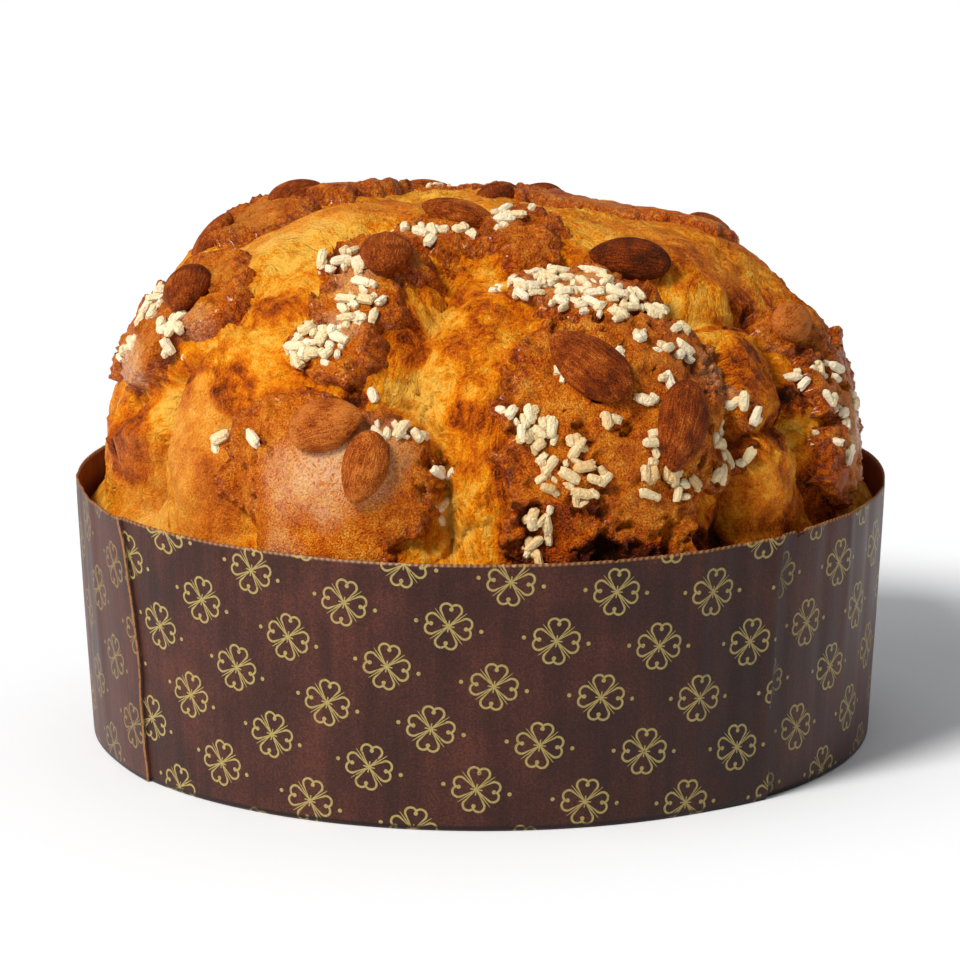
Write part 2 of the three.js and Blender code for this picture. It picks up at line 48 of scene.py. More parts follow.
# Each sheet's free edge: its azimuth, and how far it leans over by the rim, in degrees.
SEAMS = ((-55.2, -4.0), (43.8, 1.4), (160.0, 2.0))
DOME_RADIUS, SIDEWAYS, RISE, EQUATOR = 102.0, 1.8, 70.4, 76.0
SQUARENESS, SQUARENESS_SHIFT, LEAN = 2.34, -0.24, 1.9
FIT_GAP, SKIRT_DROP, SKIRT_SCALE, FOOT_ROUND = 0.3, 20.0, 1.6, 3.0
PLAN_EDGE = 90 + SKIRT_DROP / SKIRT_SCALE
GLAZE_THICKNESS, GLAZE_EDGE, GLAZE_LIP, GLAZE_WANDER, WANDER_LENGTH = 3.4, 1.9, 0.7, 2.6, 13.0
SWELL, SWELL_LENGTH, LUMP, LUMP_LENGTH, RELIEF_MIDDLE = 1.5, 21.0, 0.9, 8.5, 3.4

# Each oval: right, back, half size right, half size back, turn, amount.
GLAZE_PLATES = (
    (-47, -21.5, 11.5, 12.5, 0, 1), (-60, -24, 13, 10, 0, 1), (-66, -7, 11, 13, 0, 1),
    (-33, 4.5, 9, 11, -20, 1), (-22, 15, 12, 9, 20, 1),
    (-14.5, -28, 7.5, 8, 0, 1), (-19, -40, 8, 9.5, 0, 1), (-24.5, -51.5, 9.5, 7.5, 20, 1),
    (-5.5, -19.5, 6.5, 5.5, 0, 1), (5.5, -18, 5.5, 8, 0, 1),
    (-38, -68, 19, 10, -14, 1), (-25, -79, 17, 14, 0, 1),
    (17, -38, 14, 10.5, -20, 1), (21.5, -55, 17, 13, 0, 1), (28, -69, 19, 14, 0, 1),
    (14, -81, 11, 9, 0, 1), (46, -60, 10.5, 12.5, 0, 1), (14, -67, 11, 12, 0, 1),
    (16, -89, 12, 8, 0, 1), (33, -48, 9, 9, 0, 1), (36, -80, 12, 9, 0, 1), (-42, -82, 13.5, 14, 0, 1),
    (54, -20.5, 7, 6.5, 0, 1), (69, -22, 12, 11, 0, 1), (79, -30, 10, 15, 0, 1),
    (75, -6, 12, 11, 0, 1),
    (22, 6, 19, 7, -6, 1),
    (-2, 37, 17, 10, 8, 1), (40, 33, 13, 15, 30, 1), (-46, 38, 15, 14, -30, 1),
    (6, 68, 20, 15, 0, 1), (50, 62, 13, 11, 40, 1), (-40, 70, 15, 13, 20, 1),
)
SWELLINGS = (
    (-47, 5, 9, 10, 0, 2.6), (-27, 14, 10, 7, 10, 2.4), (-10, 3, 6, 7, 0, -2.4),
    (18, 7, 9, 9, 0, -3.4), (60, -6, 9, 12, 0, 3.2), (-19, -9, 17, 7, 14, 3.2),
    (26, -13, 15, 8, -8, 2.6), (44, -40, 8, 10, 20, 3.0), (-56, -22, 14, 12, 0, 1.6),
    (-46, -42, 11, 8, -20, 2.4), (-63, -59, 12, 15, -40, 4.6), (-33, -77, 17, 14, 0, 5.0),
    (1, -75, 6, 15, 0, 2.4), (27, -62, 19, 19, 0, 3.6), (60, -60, 8, 10, 50, 3.4),
    (80, -24, 12, 16, 10, 0.8), (-9, -43, 5, 7, 0, -1.8), (18, 24, 16, 5, 0, 0.8),
    (-22, 54, 12, 6, 0, 3.2), (30, 50, 9, 6, 30, 3.0), (-46, 40, 15, 13, 0, 2.0),
    (37, 0, 15, 11, 0, 3.6), (78, -6, 9, 13, 0, -3.6), (-8, 11, 6, 6, 0, -1.8),
    (6, 72, 18, 14, 0, 3.0), (-70, 30, 14, 12, 0, 3.0), (70, 40, 14, 14, 0, 3.0),
    (-85, -16, 8, 20, 0, 3.8), (40, -24, 9, 4, -20, 1.6), (68, -58, 9, 10, 40, 1.6),
)
# Each tear: depth, width and the line that it follows. A negative depth is a ridge.
TEARS = (
    (-2.2, 2.0, ((-83, -24), (-77, -34), (-70, -43))),
    (4.0, 2.2, ((27, -34), (35, -32), (41, -28), (47, -21))),
    (9.0, 4.0, ((-4, -28), (-7.5, -40), (-10, -50), (-12, -60))),
    (5.0, 2.6, ((-4, -28), (1, -29), (8, -27))),
    (5.5, 2.6, ((13, -26), (26, -28), (35, -38), (43, -48), (50, -57))),
    (8.0, 3.2, ((-14, -64), (-9, -73), (-8, -81), (-7.5, -94))),
    (6.5, 2.8, ((50, -57), (54, -64), (58, -71), (61, -80))),
    (6.5, 2.8, ((41, -22), (53, -30), (62, -40), (72, -46), (84, -48))),
    (4.5, 2.6, ((-78, -24), (-66, -34), (-54, -38), (-42, -34), (-33, -27))),
    (9.0, 2.4, ((-62, -38), (-70, -43.5), (-77, -44.5), (-89, -41))),
    (3.6, 2.4, ((-38, -6), (-24, -1), (-12, 4))),
    (4.0, 2.6, ((-51, -55), (-53.7, -67), (-55.6, -76), (-57, -90))),
    (5.4, 3.0, ((-22, 26), (-4, 24), (14, 27), (24, 38))),
    (6.0, 3.0, ((-28, 58), (-10, 51), (8, 51), (26, 57))),
    (4.5, 2.6, ((62, -42), (56, -50), (50, -57))), (5.4, 2.8, ((62, 8), (58, 22), (62, 44))),
    (5.4, 2.8, ((-62, 12), (-60, 26), (-58, 44), (-66, 62))),
)
# Each almond: right, back, turn, length, width, lift.
ALMOND_THICKNESS = 8.5
ALMONDS = (
    (-27.6, -68.4, -4, 20.5, 13.6, 1.4), (-22.2, -77.3, 240, 19, 11.4, 0.7),
    (-47.5, -21.9, 250, 19.5, 12.8, 1.0), (-42.5, 3, 20, 20, 13.4, -0.8),
    (-25.5, 12, 50, 20, 12.6, -2.4), (-13.2, -29.8, 264, 20, 13.4, 1.3),
    (-2.9, -14.4, 178, 20, 12.4, 1.1), (1.6, 7, 80, 20, 12.4, -1.2),
    (17.6, -57, 145, 25, 14.8, 0.7), (35.5, -63.5, 276, 24.5, 14.0, 0.9),
    (21.1, -23.1, 172, 21.5, 12.6, 1.6), (52.2, -20.1, 75, 17, 10.8, 1.3),
    (-8, 44, 20, 23, 13.8, 1.3), (9, 43, 110, 22, 13.4, 1.3), (38, 27, 60, 24, 14.0, 1.4),
    (44, 41, 330, 21, 13.2, 1.6), (-45, 37, 100, 23, 14.2, 1.5), (0, 66, 200, 22.5, 13.6, 1.3),
    (15, 75, 320, 21.5, 13.8, 1.3), (-41, 70, 60, 23.5, 14.0, 1.3),
)
# How much paler than the middle tone each of the front almonds is.
ALMOND_TONES = (0.2, 0.14, -0.02, 0, 0, 0.02, 0.08, -0.1, -0.02, -0.04, -0.15, 0.24)
# Each sugar patch: an oval with the solid's grain count as its amount, then how many more cling to those.
SUGAR_PATCHES = (
    (14.8, -37.4, 12.5, 6.6, -12, 18, 78), (-19.4, -29, 3.8, 4.4, 0, 4, 12),
    (-18, -41.5, 3.8, 6.8, 0, 5, 18), (-28, -49.6, 5.6, 5.2, 0, 8, 26),
    (-6, -20.2, 4.8, 1.4, 0, 4, 12), (3.8, -15, 3.0, 1.8, 0, 3, 7),
    (-54.5, -29, 4.4, 5, 0, 4, 10), (-57, -13.5, 5, 7, 0, 5, 16), (-67, -19, 3.6, 5, 0, 2, 6),
    (9, -70.7, 5, 3.4, -20, 6, 16), (17.5, -78, 6.6, 6, 0, 7, 20), (12.6, -89, 2.6, 5.4, -14, 4, 10),
    (50, -57, 5, 9.5, 0, 8, 16), (24, -60, 13, 12, 0, 7, 14), (37, -73, 6.6, 5.6, 20, 6, 16),
    (32, -45, 3.4, 4.4, 0, 3, 6), (64, -26, 8, 7, 0, 4, 9), (75, -28, 7, 13, 0, 4, 13),
    (-15.5, -71.6, 4.6, 1.6, 0, 3, 8), (-9.6, -84, 1.8, 5, 0, 2, 4), (-20, -62, 3, 1, 0, 1, 0),
    (-44, -64, 1, 1, 0, 1, 0), (-54, -57, 1, 1.6, 0, 1, 1),
    (-1, 37, 13, 7, 8, 5, 38), (41, 33, 9, 11, 30, 5, 38), (-46, 39, 11, 10, -30, 4, 38),
    (7, 69, 15, 9, 0, 5, 44), (50, 62, 9, 7, 40, 3, 26), (-40, 69, 10, 8, 20, 3, 32),
)
GRAIN_LENGTH, GRAIN_WIDTH, GRAIN_HEIGHT, GRAIN_LIFT = (3.6, 6.0), (2.4, 3.2), 2.7, 0.4
STRAND_SPREAD, STRAND_EASE, STRAND_FALL, SWAY, SWAY_LENGTH = 58, 40, 1.15, 7, 24
FULL_TURN, GOLDEN_TURN, SCATTER = 6.2832, 2.39996, 43758.5453

# Cells along each side of the cake's square grid, columns round the case, and the points that close a
# cake mesh under its grid: two rings round the grid's rim and a middle.
CELLS, COLUMNS = ((300, 1440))
HIDDEN = 2 * 4 * CELLS + 1

# Where the crust is darker: ovals with how much as their amount. Most baked darker; those over the deep
# tears and low on the front right are partly painted shade. A negative amount stayed pale.
TOAST_AND_SHADE = (
    (-47, -51, 6, 6, 0, 0.52), (-54, -39, 6, 4, -30, 0.3), (-58, -43, 4, 5, 0, 0.3),
    (-1, -54, 6, 8, 0, 0.22), (-13, -46, 5, 8, 10, 0.5), (-3, -69, 4, 4, 0, 0.4),
    (6.4, -81, 5, 7, 0, 0.3), (60, -46, 4, 6, 0, 0.42), (60.7, -36.6, 4, 7, 0, 0.5),
    (-80, -32, 10, 6, -56, 0.38), (-33, -38, 7, 3, 0, 0.18), (43, -20, 3, 5, 0, 0.22),
    (-62, -72, 9, 12, 0, 0.12), (-36, -90, 20, 5, 0, 0.04), (80, -42, 9, 8, 0, 0.45),
    (34, -90, 17, 5, 20, 1.1), (30, 12, 26, 8, -6, 0.6), (84, 4, 14, 18, 0, 0.3),
    (56, -78, 8, 6, 40, 0.7), (46, -41, 6, 6, 40, 0.1), (56, -72, 3, 7, 20, 0.4), (17, -92, 12, 9, 0, 0.8),
    (-26, -17, 14, 6, 14, -0.25), (-36, -44, 8, 6, 0, -0.12), (12, -16, 6, 4, 0, -0.2),
    (-9, -76, 4, 14, 0, -0.12), (-20, 54, 16, 8, 0, 0.3), (30, 52, 12, 9, 30, 0.35),
    (-23, -63, 3, 3, 0, 0.6), (34, -14, 22, 9, -8, 0.1), (52, -38, 12, 14, 0, 0.16),
    (62, -66, 13, 16, 0, 0.05), (76, -60, 7, 12, 0, 0.3), (-32, -34, 5, 4, 0, 0.3),
    (-70, -37, 7, 5, 0, -0.16), (-4, -31, 5, 7, 0, 0.3), (2, -42, 5, 7, 0, 0.24),
    (-18, -38, 7, 13, 0, -0.3), (36, -33, 7, 2.5, 20, -0.15), (41, -31, 7, 1.6, 30, 0.5),
)
# Where a pale, shiny skin of glaze dried, its paler colour partly painted sheen: ovals with how much as
# their amount.
FILM_AND_SHEEN = (
    (-26, -75, 12, 8, 0, 1.0), (-38, -74, 7, 7, 0, 0.5), (-68, -22, 5, 9, 0, 0.8),
    (-45, -84, 6, 6, 0, 0.3), (-24, -46, 6, 4, 0, 0.6), (-18, -35, 4, 7, 0, 0.45),
    (-50, -32, 5, 5, 0, 0.4), (42, -46, 6, 6, 0, 0.5), (14, -36, 9, 4, 0, 0.4),
    (78, -20, 6, 12, 0, 0.4),
)
# Where the stretched skin or the glaze stayed smooth: ovals with how much as their amount.
CALM = (
    (-63, -60, 13, 22, -20, 0.85), (-22, -8, 24, 7, 14, 0.6), (28, -14, 18, 6, -8, 0.4),
    (60, -68, 8, 12, 0, 0.3), (-83, -48, 10, 24, 0, 0.6), (-34, -80, 20, 14, -10, 1.0),
    (24, 7, 26, 10, -6, 1.0),
)
# How the wall's height is shared among its rings: up the outside, and down the inside.
OUTER_ROWS = (0.02, 0.06, 0.12, 0.2, 0.3, 0.4, 0.5, 0.6, 0.7, 0.78, 0.85, 0.91, 0.96, 0.985, 1.0)
INNER_ROWS = (0.97, 0.92, 0.85, 0.76, 0.66, 0.5, 0.25)
# Distances of the columns that crowd at a free edge of the paper, in degrees.
EDGE_STEPS = (-0.45, -0.25, -0.1, -0.02, 0.02, 0.1, 0.25, 0.45)
# How far in the last flat ring under the base lies, the share of the wall's height from which its bends
# are full, how far its top edge draws in, and the length of the inside's pleats.
FOLD, BULGE, EDGE_DROP, PLEAT_LENGTH = 2.4, 0.62, 0.15, 5.4
# Upright creases and dents of the wall: azimuth, width in degrees, and how far out they stand.
CREASES = (
    (-38, 1.6, 0.25), (-14, 2.2, -0.2), (9, 1.8, 0.35), (22, 1.4, -0.25), (31, 1.2, 0.5),
    (36, 1.2, -0.3), (43, 1.5, 0.45), (46.2, 1.3, -0.2), (55, 1.6, -0.35), (62, 1.3, 0.35), (70, 1.6, -0.35),
    (-70, 2.0, 0.4), (-78, 1.6, -0.35), (-86, 2.0, 0.35), (80, 1.8, 0.3), (104, 2.0, -0.3),
    (128, 1.6, 0.3), (-112, 1.8, -0.3), (-140, 2.2, 0.3),
)
# Small ragged losses of the rim: azimuth, width in degrees, and depth.
NICKS = (
    (47.6, 0.5, 1.3), (48.6, 0.35, 0.8), (-57.5, 0.5, 0.7), (-31, 0.3, 0.5), (18, 0.3, 0.4),
    (121, 0.5, 0.9),
)
# The print: its half spacing in millimetres, how it leans along the wall, and one ornament's middle.
CHECK, SLOPE, SLOPE_CHANGE, PRINT_ORIGIN = 13.7, 0.158, -0.00051, (3.2, 38.2)
# Where along the wall the print breaks, at its two front seams, and how far each side sheet's print is
# moved along and up it.
LEFT_BREAK, RIGHT_BREAK, LEFT_SHIFT, RIGHT_SHIFT = (-102.8, -102.9), (81.5, 81.6), (9.0, 4.0), (5.0, -3.0)
PRINT_SCALE = 0.988

# Half the floor's width, and how bright the white sky is.
FLOOR_HALF, SKY_STRENGTH = 6000, 0.19
# The camera that fits the photograph: lens in millimetres, place in metres, and how far it looks down in
# radians.
LENS, CAMERA_PLACE, LOOK_DOWN = 182.6, (-0.00026, -1.279, 0.3556), 0.222


def fraction(x):
    """The part of each number after the point."""
    return x - np.floor(x)


def draw(n):
    """A repeatable draw from 0 to 1 for each number: the late digits of a sine."""
    return fraction(np.sin(np.asarray(n) * 12.9898 + 4.1414) * SCATTER)


def smooth(low, high, x):
    """0 below low, 1 above high, and a smooth cubic between."""
    t = np.clip((x - low) / (high - low), 0, 1)
    return t * t * (3 - 2 * t)


def lattice(i, j, k):
    """A repeatable draw from 0 to 1 for a corner of the cubic lattice."""
    return fraction(np.sin(i * 127.1 + j * 311.7 + k * 74.7) * SCATTER)


def noise(p):
    """Value noise from -1 to 1: the eight lattice corners round each point, blended smoothly."""
    cell = np.floor(p)
    t = p - cell
    t = t * t * (3 - 2 * t)
    total = 0
    for step in np.ndindex(2, 2, 2):
        weight = np.prod(np.where(step, t, 1 - t), axis=-1)
        total = total + weight * lattice(*np.moveaxis(cell + step, -1, 0))
    return 2 * total - 1


def noise_at(p, length, shift):
    """Value noise of a given length in millimetres, moved to a part of the lattice of its own."""
    return noise(p / length + np.array([shift, -shift, 0.5 * shift]))


def pebbles(p, length, shift):
    """Distance to the nearest of points strewn one in each lattice cell, in cells: round lumps or pits."""
    q = p / length + shift
    cell = np.floor(q)
    nearest = np.full(q.shape[:-1], 9.0)
    for step in np.ndindex(3, 3, 3):
        corner = cell + np.array(step) - 1
        i, j, k = np.moveaxis(corner, -1, 0)
        spot = np.stack([lattice(i, j, k), lattice(j + 7, k, i), lattice(k, i + 3, j)], axis=-1)
        nearest = np.minimum(nearest, np.linalg.norm(corner + spot - q, axis=-1))
    return nearest


def wall_radius(z):
    """The case wall's outer radius at a height: a straight flare from base to rim."""
    return BASE_RADIUS + (RIM_RADIUS - BASE_RADIUS) * z / CASE_HEIGHT


def oval_reach(oval, right, back):
    """How far a plan point lies from an oval's middle: 0 there, 1 on its edge."""
    dx, dy = right - oval[0], back - oval[1]
    c, s = np.cos(np.radians(oval[4])), np.sin(np.radians(oval[4]))
    return np.hypot((c * dx + s * dy) / oval[2], (c * dy - s * dx) / oval[3])


def line_distance(line, right, back):
    """Distance in plan degrees to a chain of straight stretches."""
    nearest = np.full(np.shape(right), np.inf)
    for (ax, ay), (bx, by) in zip(line, line[1:]):
        dx, dy = bx - ax, by - ay
        along = np.clip(((right - ax) * dx + (back - ay) * dy) / (dx * dx + dy * dy), 0, 1)
        nearest = np.minimum(nearest, np.hypot(right - ax - along * dx, back - ay - along * dy))
    return nearest


def dome(right, back):
    """The smooth dome under the relief, as points, outward normals and the drop below its widest ring.

    A superellipse profile turned round the axis, rounder on the right, then a skirt that eases out
    to the paper's inside."""
    polar = np.hypot(right, back)
    azimuth = np.arctan2(right, -back)
    theta = np.radians(np.minimum(polar, 90.0))
    sin, cos = np.sin(theta), np.cos(theta)
    power = SQUARENESS + SQUARENESS_SHIFT * np.sin(azimuth) * sin
    full = DOME_RADIUS + SIDEWAYS * np.sin(azimuth)
    share = sin ** (2 / power)
    height = EQUATOR + RISE * cos ** (2 / power) - LEAN * np.sin(azimuth) * share * cos
    outward = sin ** (2 - 2 / power) / full
    upward = cos ** (2 - 2 / power) / RISE
    drop = np.maximum(0, (polar - 90) * SKIRT_SCALE)
    skirt = polar > 90
    height = np.where(skirt, EQUATOR - drop, height)
    seated = wall_radius(height) - PAPER - FIT_GAP
    radius = np.where(skirt, full + (seated - full) * smooth(0, SKIRT_DROP, drop), full * share)
    outward = np.where(skirt, 1, outward)
    upward = np.where(skirt, 0, upward)
    scale = np.hypot(outward, upward)
    point = np.stack([radius * np.sin(azimuth), -radius * np.cos(azimuth), height], axis=-1)
    normal = np.stack([outward * np.sin(azimuth), -outward * np.cos(azimuth), upward], axis=-1)
    return point, normal / scale[..., None], drop


def glaze_distance(p, right, back, plates=GLAZE_PLATES):
    """Signed distance in plan degrees to the nearest glaze edge, negative on the glaze."""
    x = right + GLAZE_WANDER * noise_at(p, WANDER_LENGTH, 3.1)
    y = back + GLAZE_WANDER * noise_at(p, WANDER_LENGTH, 8.7)
    reach = [(oval_reach(plate, x, y) - 1) * min(plate[2], plate[3]) for plate in plates]
    return np.min(reach, axis=0)


def ground(p, right, back):
    """Height of the crumb over the dome: two noises, bell-shaped swellings and tears.

    A tear is its depth times e to the power of minus the distance over its width: a sharp crease."""
    height = SWELL * noise_at(p, SWELL_LENGTH, 1.3) - RELIEF_MIDDLE + LUMP * noise_at(p, LUMP_LENGTH, 5.9)
    for oval in SWELLINGS:
        height = height + oval[5] * np.exp(-(oval_reach(oval, right, back) ** 2))
    for deep, wide, line in TEARS:
        height = height - deep * np.exp(-line_distance(line, right, back) / wide)
    return height


def solid_height(p, right, back):
    """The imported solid's relief: the crumb's ground with a rounded step up onto the glaze."""
    edge = glaze_distance(p, right, back)
    height = ground(p, right, back)
    height = height + GLAZE_THICKNESS * smooth(GLAZE_EDGE / 2, -GLAZE_EDGE / 2, edge)
    return height + GLAZE_LIP * np.exp(-(((edge + GLAZE_EDGE) / 1.4) ** 2))


def raised(base, height):
    """Points lifted off the dome by a height, faded out down the skirt and kept inside the paper."""
    point, normal, drop = base
    fade = 1 - smooth(0.3 * SKIRT_DROP, 0.9 * SKIRT_DROP, drop)
    p = point + normal * (height * fade)[..., None]
    room = wall_radius(np.minimum(p[..., 2], CASE_HEIGHT)) - PAPER - FIT_GAP
    inward = np.minimum(1, room / np.maximum(1e-9, np.hypot(p[..., 0], p[..., 1])))
    return p * np.stack([inward, inward, np.ones_like(inward)], axis=-1)


def solid_point(right, back):
    """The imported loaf's surface at plan points."""
    base = dome(right, back)
    return raised(base, solid_height(base[0], right, back))


def seats(right, back, turn, step):
    """Frames on the loaf: each point, a plan direction laid on the surface, the side and the normal.

    The directions are differences of surface points a small plan step apart."""
    dx, dy = step * np.cos(turn), step * np.sin(turn)
    along = solid_point(right + dx, back + dy) - solid_point(right - dx, back - dy)
    across = solid_point(right - dy, back + dx) - solid_point(right + dy, back - dx)
    along /= np.linalg.norm(along, axis=-1, keepdims=True)
    normal = np.cross(along, across)
    normal /= np.linalg.norm(normal, axis=-1, keepdims=True)
    return solid_point(right, back), along, np.cross(normal, along), normal


def mesh_piece(name, points, quads, triangles=(), smooth_faces=True):
    """Puts whole arrays of points in millimetres, quads and triangles into one mesh object."""
    quads = np.asarray(quads, dtype=np.int64).reshape(-1, 4)
    triangles = np.asarray(triangles, dtype=np.int64).reshape(-1, 3)
    loops = np.concatenate([quads.ravel(), triangles.ravel()])
    sizes = np.concatenate([np.full(len(quads), 4), np.full(len(triangles), 3)])
    starts = np.concatenate([[0], np.cumsum(sizes)[:-1]])
    mesh = bpy.data.meshes.new(name)
    mesh.vertices.add(len(points))
    mesh.vertices.foreach_set("co", (np.asarray(points) * 0.001).astype(np.float32).ravel())
    mesh.loops.add(len(loops))
    mesh.loops.foreach_set("vertex_index", loops.astype(np.int32))
    mesh.polygons.add(len(sizes))
    mesh.polygons.foreach_set("loop_start", starts.astype(np.int32))
    mesh.update(calc_edges=True)
    mesh.polygons.foreach_set("use_smooth", np.full(len(sizes), smooth_faces))
    made = bpy.data.objects.new(name, mesh)
    bpy.context.scene.collection.objects.link(made)
    return made


def give(piece, name, values):
    """Stores one number, or one row of three numbers, for each point of a piece."""
    kind, field = ("FLOAT", "value") if np.ndim(values) == 1 else ("FLOAT_VECTOR", "vector")
    layer = piece.data.attributes.new(name, kind, "POINT")
    layer.data.foreach_set(field, np.asarray(values, dtype=np.float32).ravel())


def grid_quads(rows, columns, closed=False):
    """Quads over a grid of points kept row by row; closed joins each row's last point to its first."""
    i = np.arange(rows - 1)[:, None] * columns
    j = np.arange(columns if closed else columns - 1)[None, :]
    k = (j + 1) % columns
    return np.stack([i + j, i + k, i + columns + k, i + columns + j], axis=-1).reshape(-1, 4)


def tube_faces(rings, around):
    """Quads and end fans of a tube whose points are a first tip, its rings in turn, and a last tip."""
    i = np.arange(around)
    j = (i + 1) % around
    last = 1 + (rings - 1) * around
    start = np.stack([np.zeros(around), 1 + j, 1 + i], axis=-1)
    end = np.stack([last + i, last + j, np.full(around, last + around)], axis=-1)
    return 1 + grid_quads(rings, around, closed=True), np.concatenate([start, end])


def plan_grid(pull):
    """The plan's disc as a square grid, whose squares round the middle become circles.

    A point's distance from the crown is the plan's edge times its greater coordinate to the power of 1.1,
    and its heading is its share of the way round its square. The inner circles are pulled to one side."""
    a, b = np.meshgrid(np.linspace(-1, 1, CELLS + 1), np.linspace(-1, 1, CELLS + 1))
    reach = np.maximum(np.abs(a), np.abs(b))
    wide = np.abs(a) >= np.abs(b)
    share = np.where(wide, b / np.where(a == 0, 1, a), a / np.where(b == 0, 1, b))
    angle = np.where(wide, np.pi / 4 * share, np.pi / 2 - np.pi / 4 * share)
    angle = angle + np.where(np.where(wide, a < 0, b < 0), np.pi, 0)
    polar = PLAN_EDGE * reach**1.1
    pulled = 1 - (polar / PLAN_EDGE) ** 2
    right, back = polar * np.cos(angle) + pull[0] * pulled, polar * np.sin(angle) + pull[1] * pulled
    return right.ravel(), back.ravel()


def cake_mesh(name, surface):
    """Closes a surface over the plan grid with the side that the paper hides and a flat bottom."""
    row = CELLS + 1
    top = np.arange(CELLS)
    rim = np.concatenate([top, top * row + CELLS, CELLS * row + CELLS - top, (CELLS - top) * row])
    angle = np.arctan2(surface[rim, 1], surface[rim, 0])
    foot = CASE_FLOOR + FIT_GAP
    seat = wall_radius(foot) - PAPER - FIT_GAP
    rings = [surface]
    for radius, height in ((seat, foot + FOOT_ROUND), (seat - FOOT_ROUND, foot)):
        level = np.full(len(rim), height)
        rings.append(np.stack([radius * np.cos(angle), radius * np.sin(angle), level], axis=-1))
    points = np.concatenate([*rings, [[0, 0, foot]]])
    count = len(rim)
    first, second = row * row + np.arange(count), row * row + count + np.arange(count)
    around = np.roll(np.arange(count), -1)
    quads = np.concatenate([
        grid_quads(row, row),
        np.stack([rim, first, first[around], rim[around]], axis=-1),
        np.stack([first, second, second[around], first[around]], axis=-1),
    ])
    fan = np.stack([second, np.full(count, len(points) - 1), second[around]], axis=-1)
    return mesh_piece(name, points, quads, fan)


def set_on(points, frame_at, lift):
    """Points of a small piece laid in a frame on the loaf, lifted along its normal."""
    place, along, side, normal = frame_at
    x, y, z = points[..., :1], points[..., 1:2], points[..., 2:]
    return place + normal * lift + x * along + y * side + z * normal


def grain_shape():
    """A sugar grain of unit size: an eight-sided, squarish rod of four rings with blunt ends."""
    around = 8
    angle = 2 * np.pi * (np.arange(around) + 0.5) / around
    rings = []
    for x, girth in ((-0.49, 0.7), (-0.27, 1.0), (0.27, 1.0), (0.49, 0.7)):
        y, z = 0.5 * girth * np.cos(angle), 0.44 * girth * np.sin(angle)
        rings.append(np.stack([np.full(around, x), y, z], axis=-1))
    points = np.concatenate([[[-0.53, 0, 0]], *rings, [[0.53, 0, 0]]])
    return points, *tube_faces(len(rings), around)


def sugar_spots():
    """Every grain's plan point, turn, seed, and 1 if it is one of the smaller ones.

    A patch holds the solid's own grains on a spiral, each a golden turn past the last and at the root of
    its share of the patch, then grains that cling to those at a short step in a drawn direction."""
    rows = []
    for number, patch in enumerate(SUGAR_PATCHES):
        first, fixed = 100 * (number + 1), max(1, patch[5])
        k = np.arange(patch[5])
        seed = first + k
        reach = np.sqrt((k + draw(seed + 0.3)) / patch[5])
        angle = GOLDEN_TURN * k + FULL_TURN * draw(first + 0.7)
        x, y = patch[2] * reach * np.cos(angle), patch[3] * reach * np.sin(angle)
        c, s = np.cos(np.radians(patch[4])), np.sin(np.radians(patch[4]))
        own = np.stack([patch[0] + c * x - s * y, patch[1] + s * x + c * y], axis=-1)
        rows.append(np.column_stack([own, FULL_TURN * draw(seed + 0.5), seed, np.zeros(len(k))]))
        n = np.arange(patch[6])
        young = 5000 + first + n
        angle = FULL_TURN * draw(young + 0.4)
        far = (0.9 + 1.5 * draw(young + 0.6)) * (1 + n // (3 * fixed) * 0.5)
        step = np.stack([far * np.cos(angle), far * np.sin(angle)], axis=-1)
        cling = own[n % fixed] + step
        rows.append(np.column_stack([cling, FULL_TURN * draw(young + 0.5), young, np.ones(len(n))]))
    return np.concatenate(rows)


def sugar_piece(spots):
    """The grains as one joined mesh: the unit grain times each one's size, its points knocked about a little
    and laid in its frame on the loaf. The clinging ones are smaller and sunk deeper."""
    right, back, turn, seed, small = spots.T
    frames = tuple(part[:, None] for part in seats(right, back, turn, 1.2))
    shrink = 0.94 - 0.45 * small * draw(seed + 0.9)
    length = GRAIN_LENGTH[0] + (GRAIN_LENGTH[1] - GRAIN_LENGTH[0]) * draw(seed + 0.1)
    length = length * shrink * (1 - 0.2 * small)
    width = (GRAIN_WIDTH[0] + (GRAIN_WIDTH[1] - GRAIN_WIDTH[0]) * draw(seed + 0.2)) * shrink
    sizes = np.stack([length, width, np.full(len(seed), GRAIN_HEIGHT)], axis=-1)
    shape, quads, ends = grain_shape()
    knock = 1 + 0.3 * (draw(seed[:, None] * 1.37 + np.arange(len(shape))) - 0.5)
    sunk = GRAIN_LIFT - (0.3 + 1.3 * small * draw(seed + 0.8))[:, None, None]
    points = set_on(shape[None] * knock[..., None] * sizes[:, None], frames, sunk)
    shift = len(shape) * np.arange(len(seed))[:, None, None]
    made = mesh_piece("sugar", points.reshape(-1, 3), quads + shift, ends + shift, smooth_faces=False)
    # Each grain's tone is drawn at random; the grains low on the front right are darker as painted shade.
    lit = draw(seed + 0.6) - 0.9 * smooth(-10, 25, right) * smooth(-52, -80, back)
    give(made, "lit", np.repeat(lit, len(shape)))
    return made


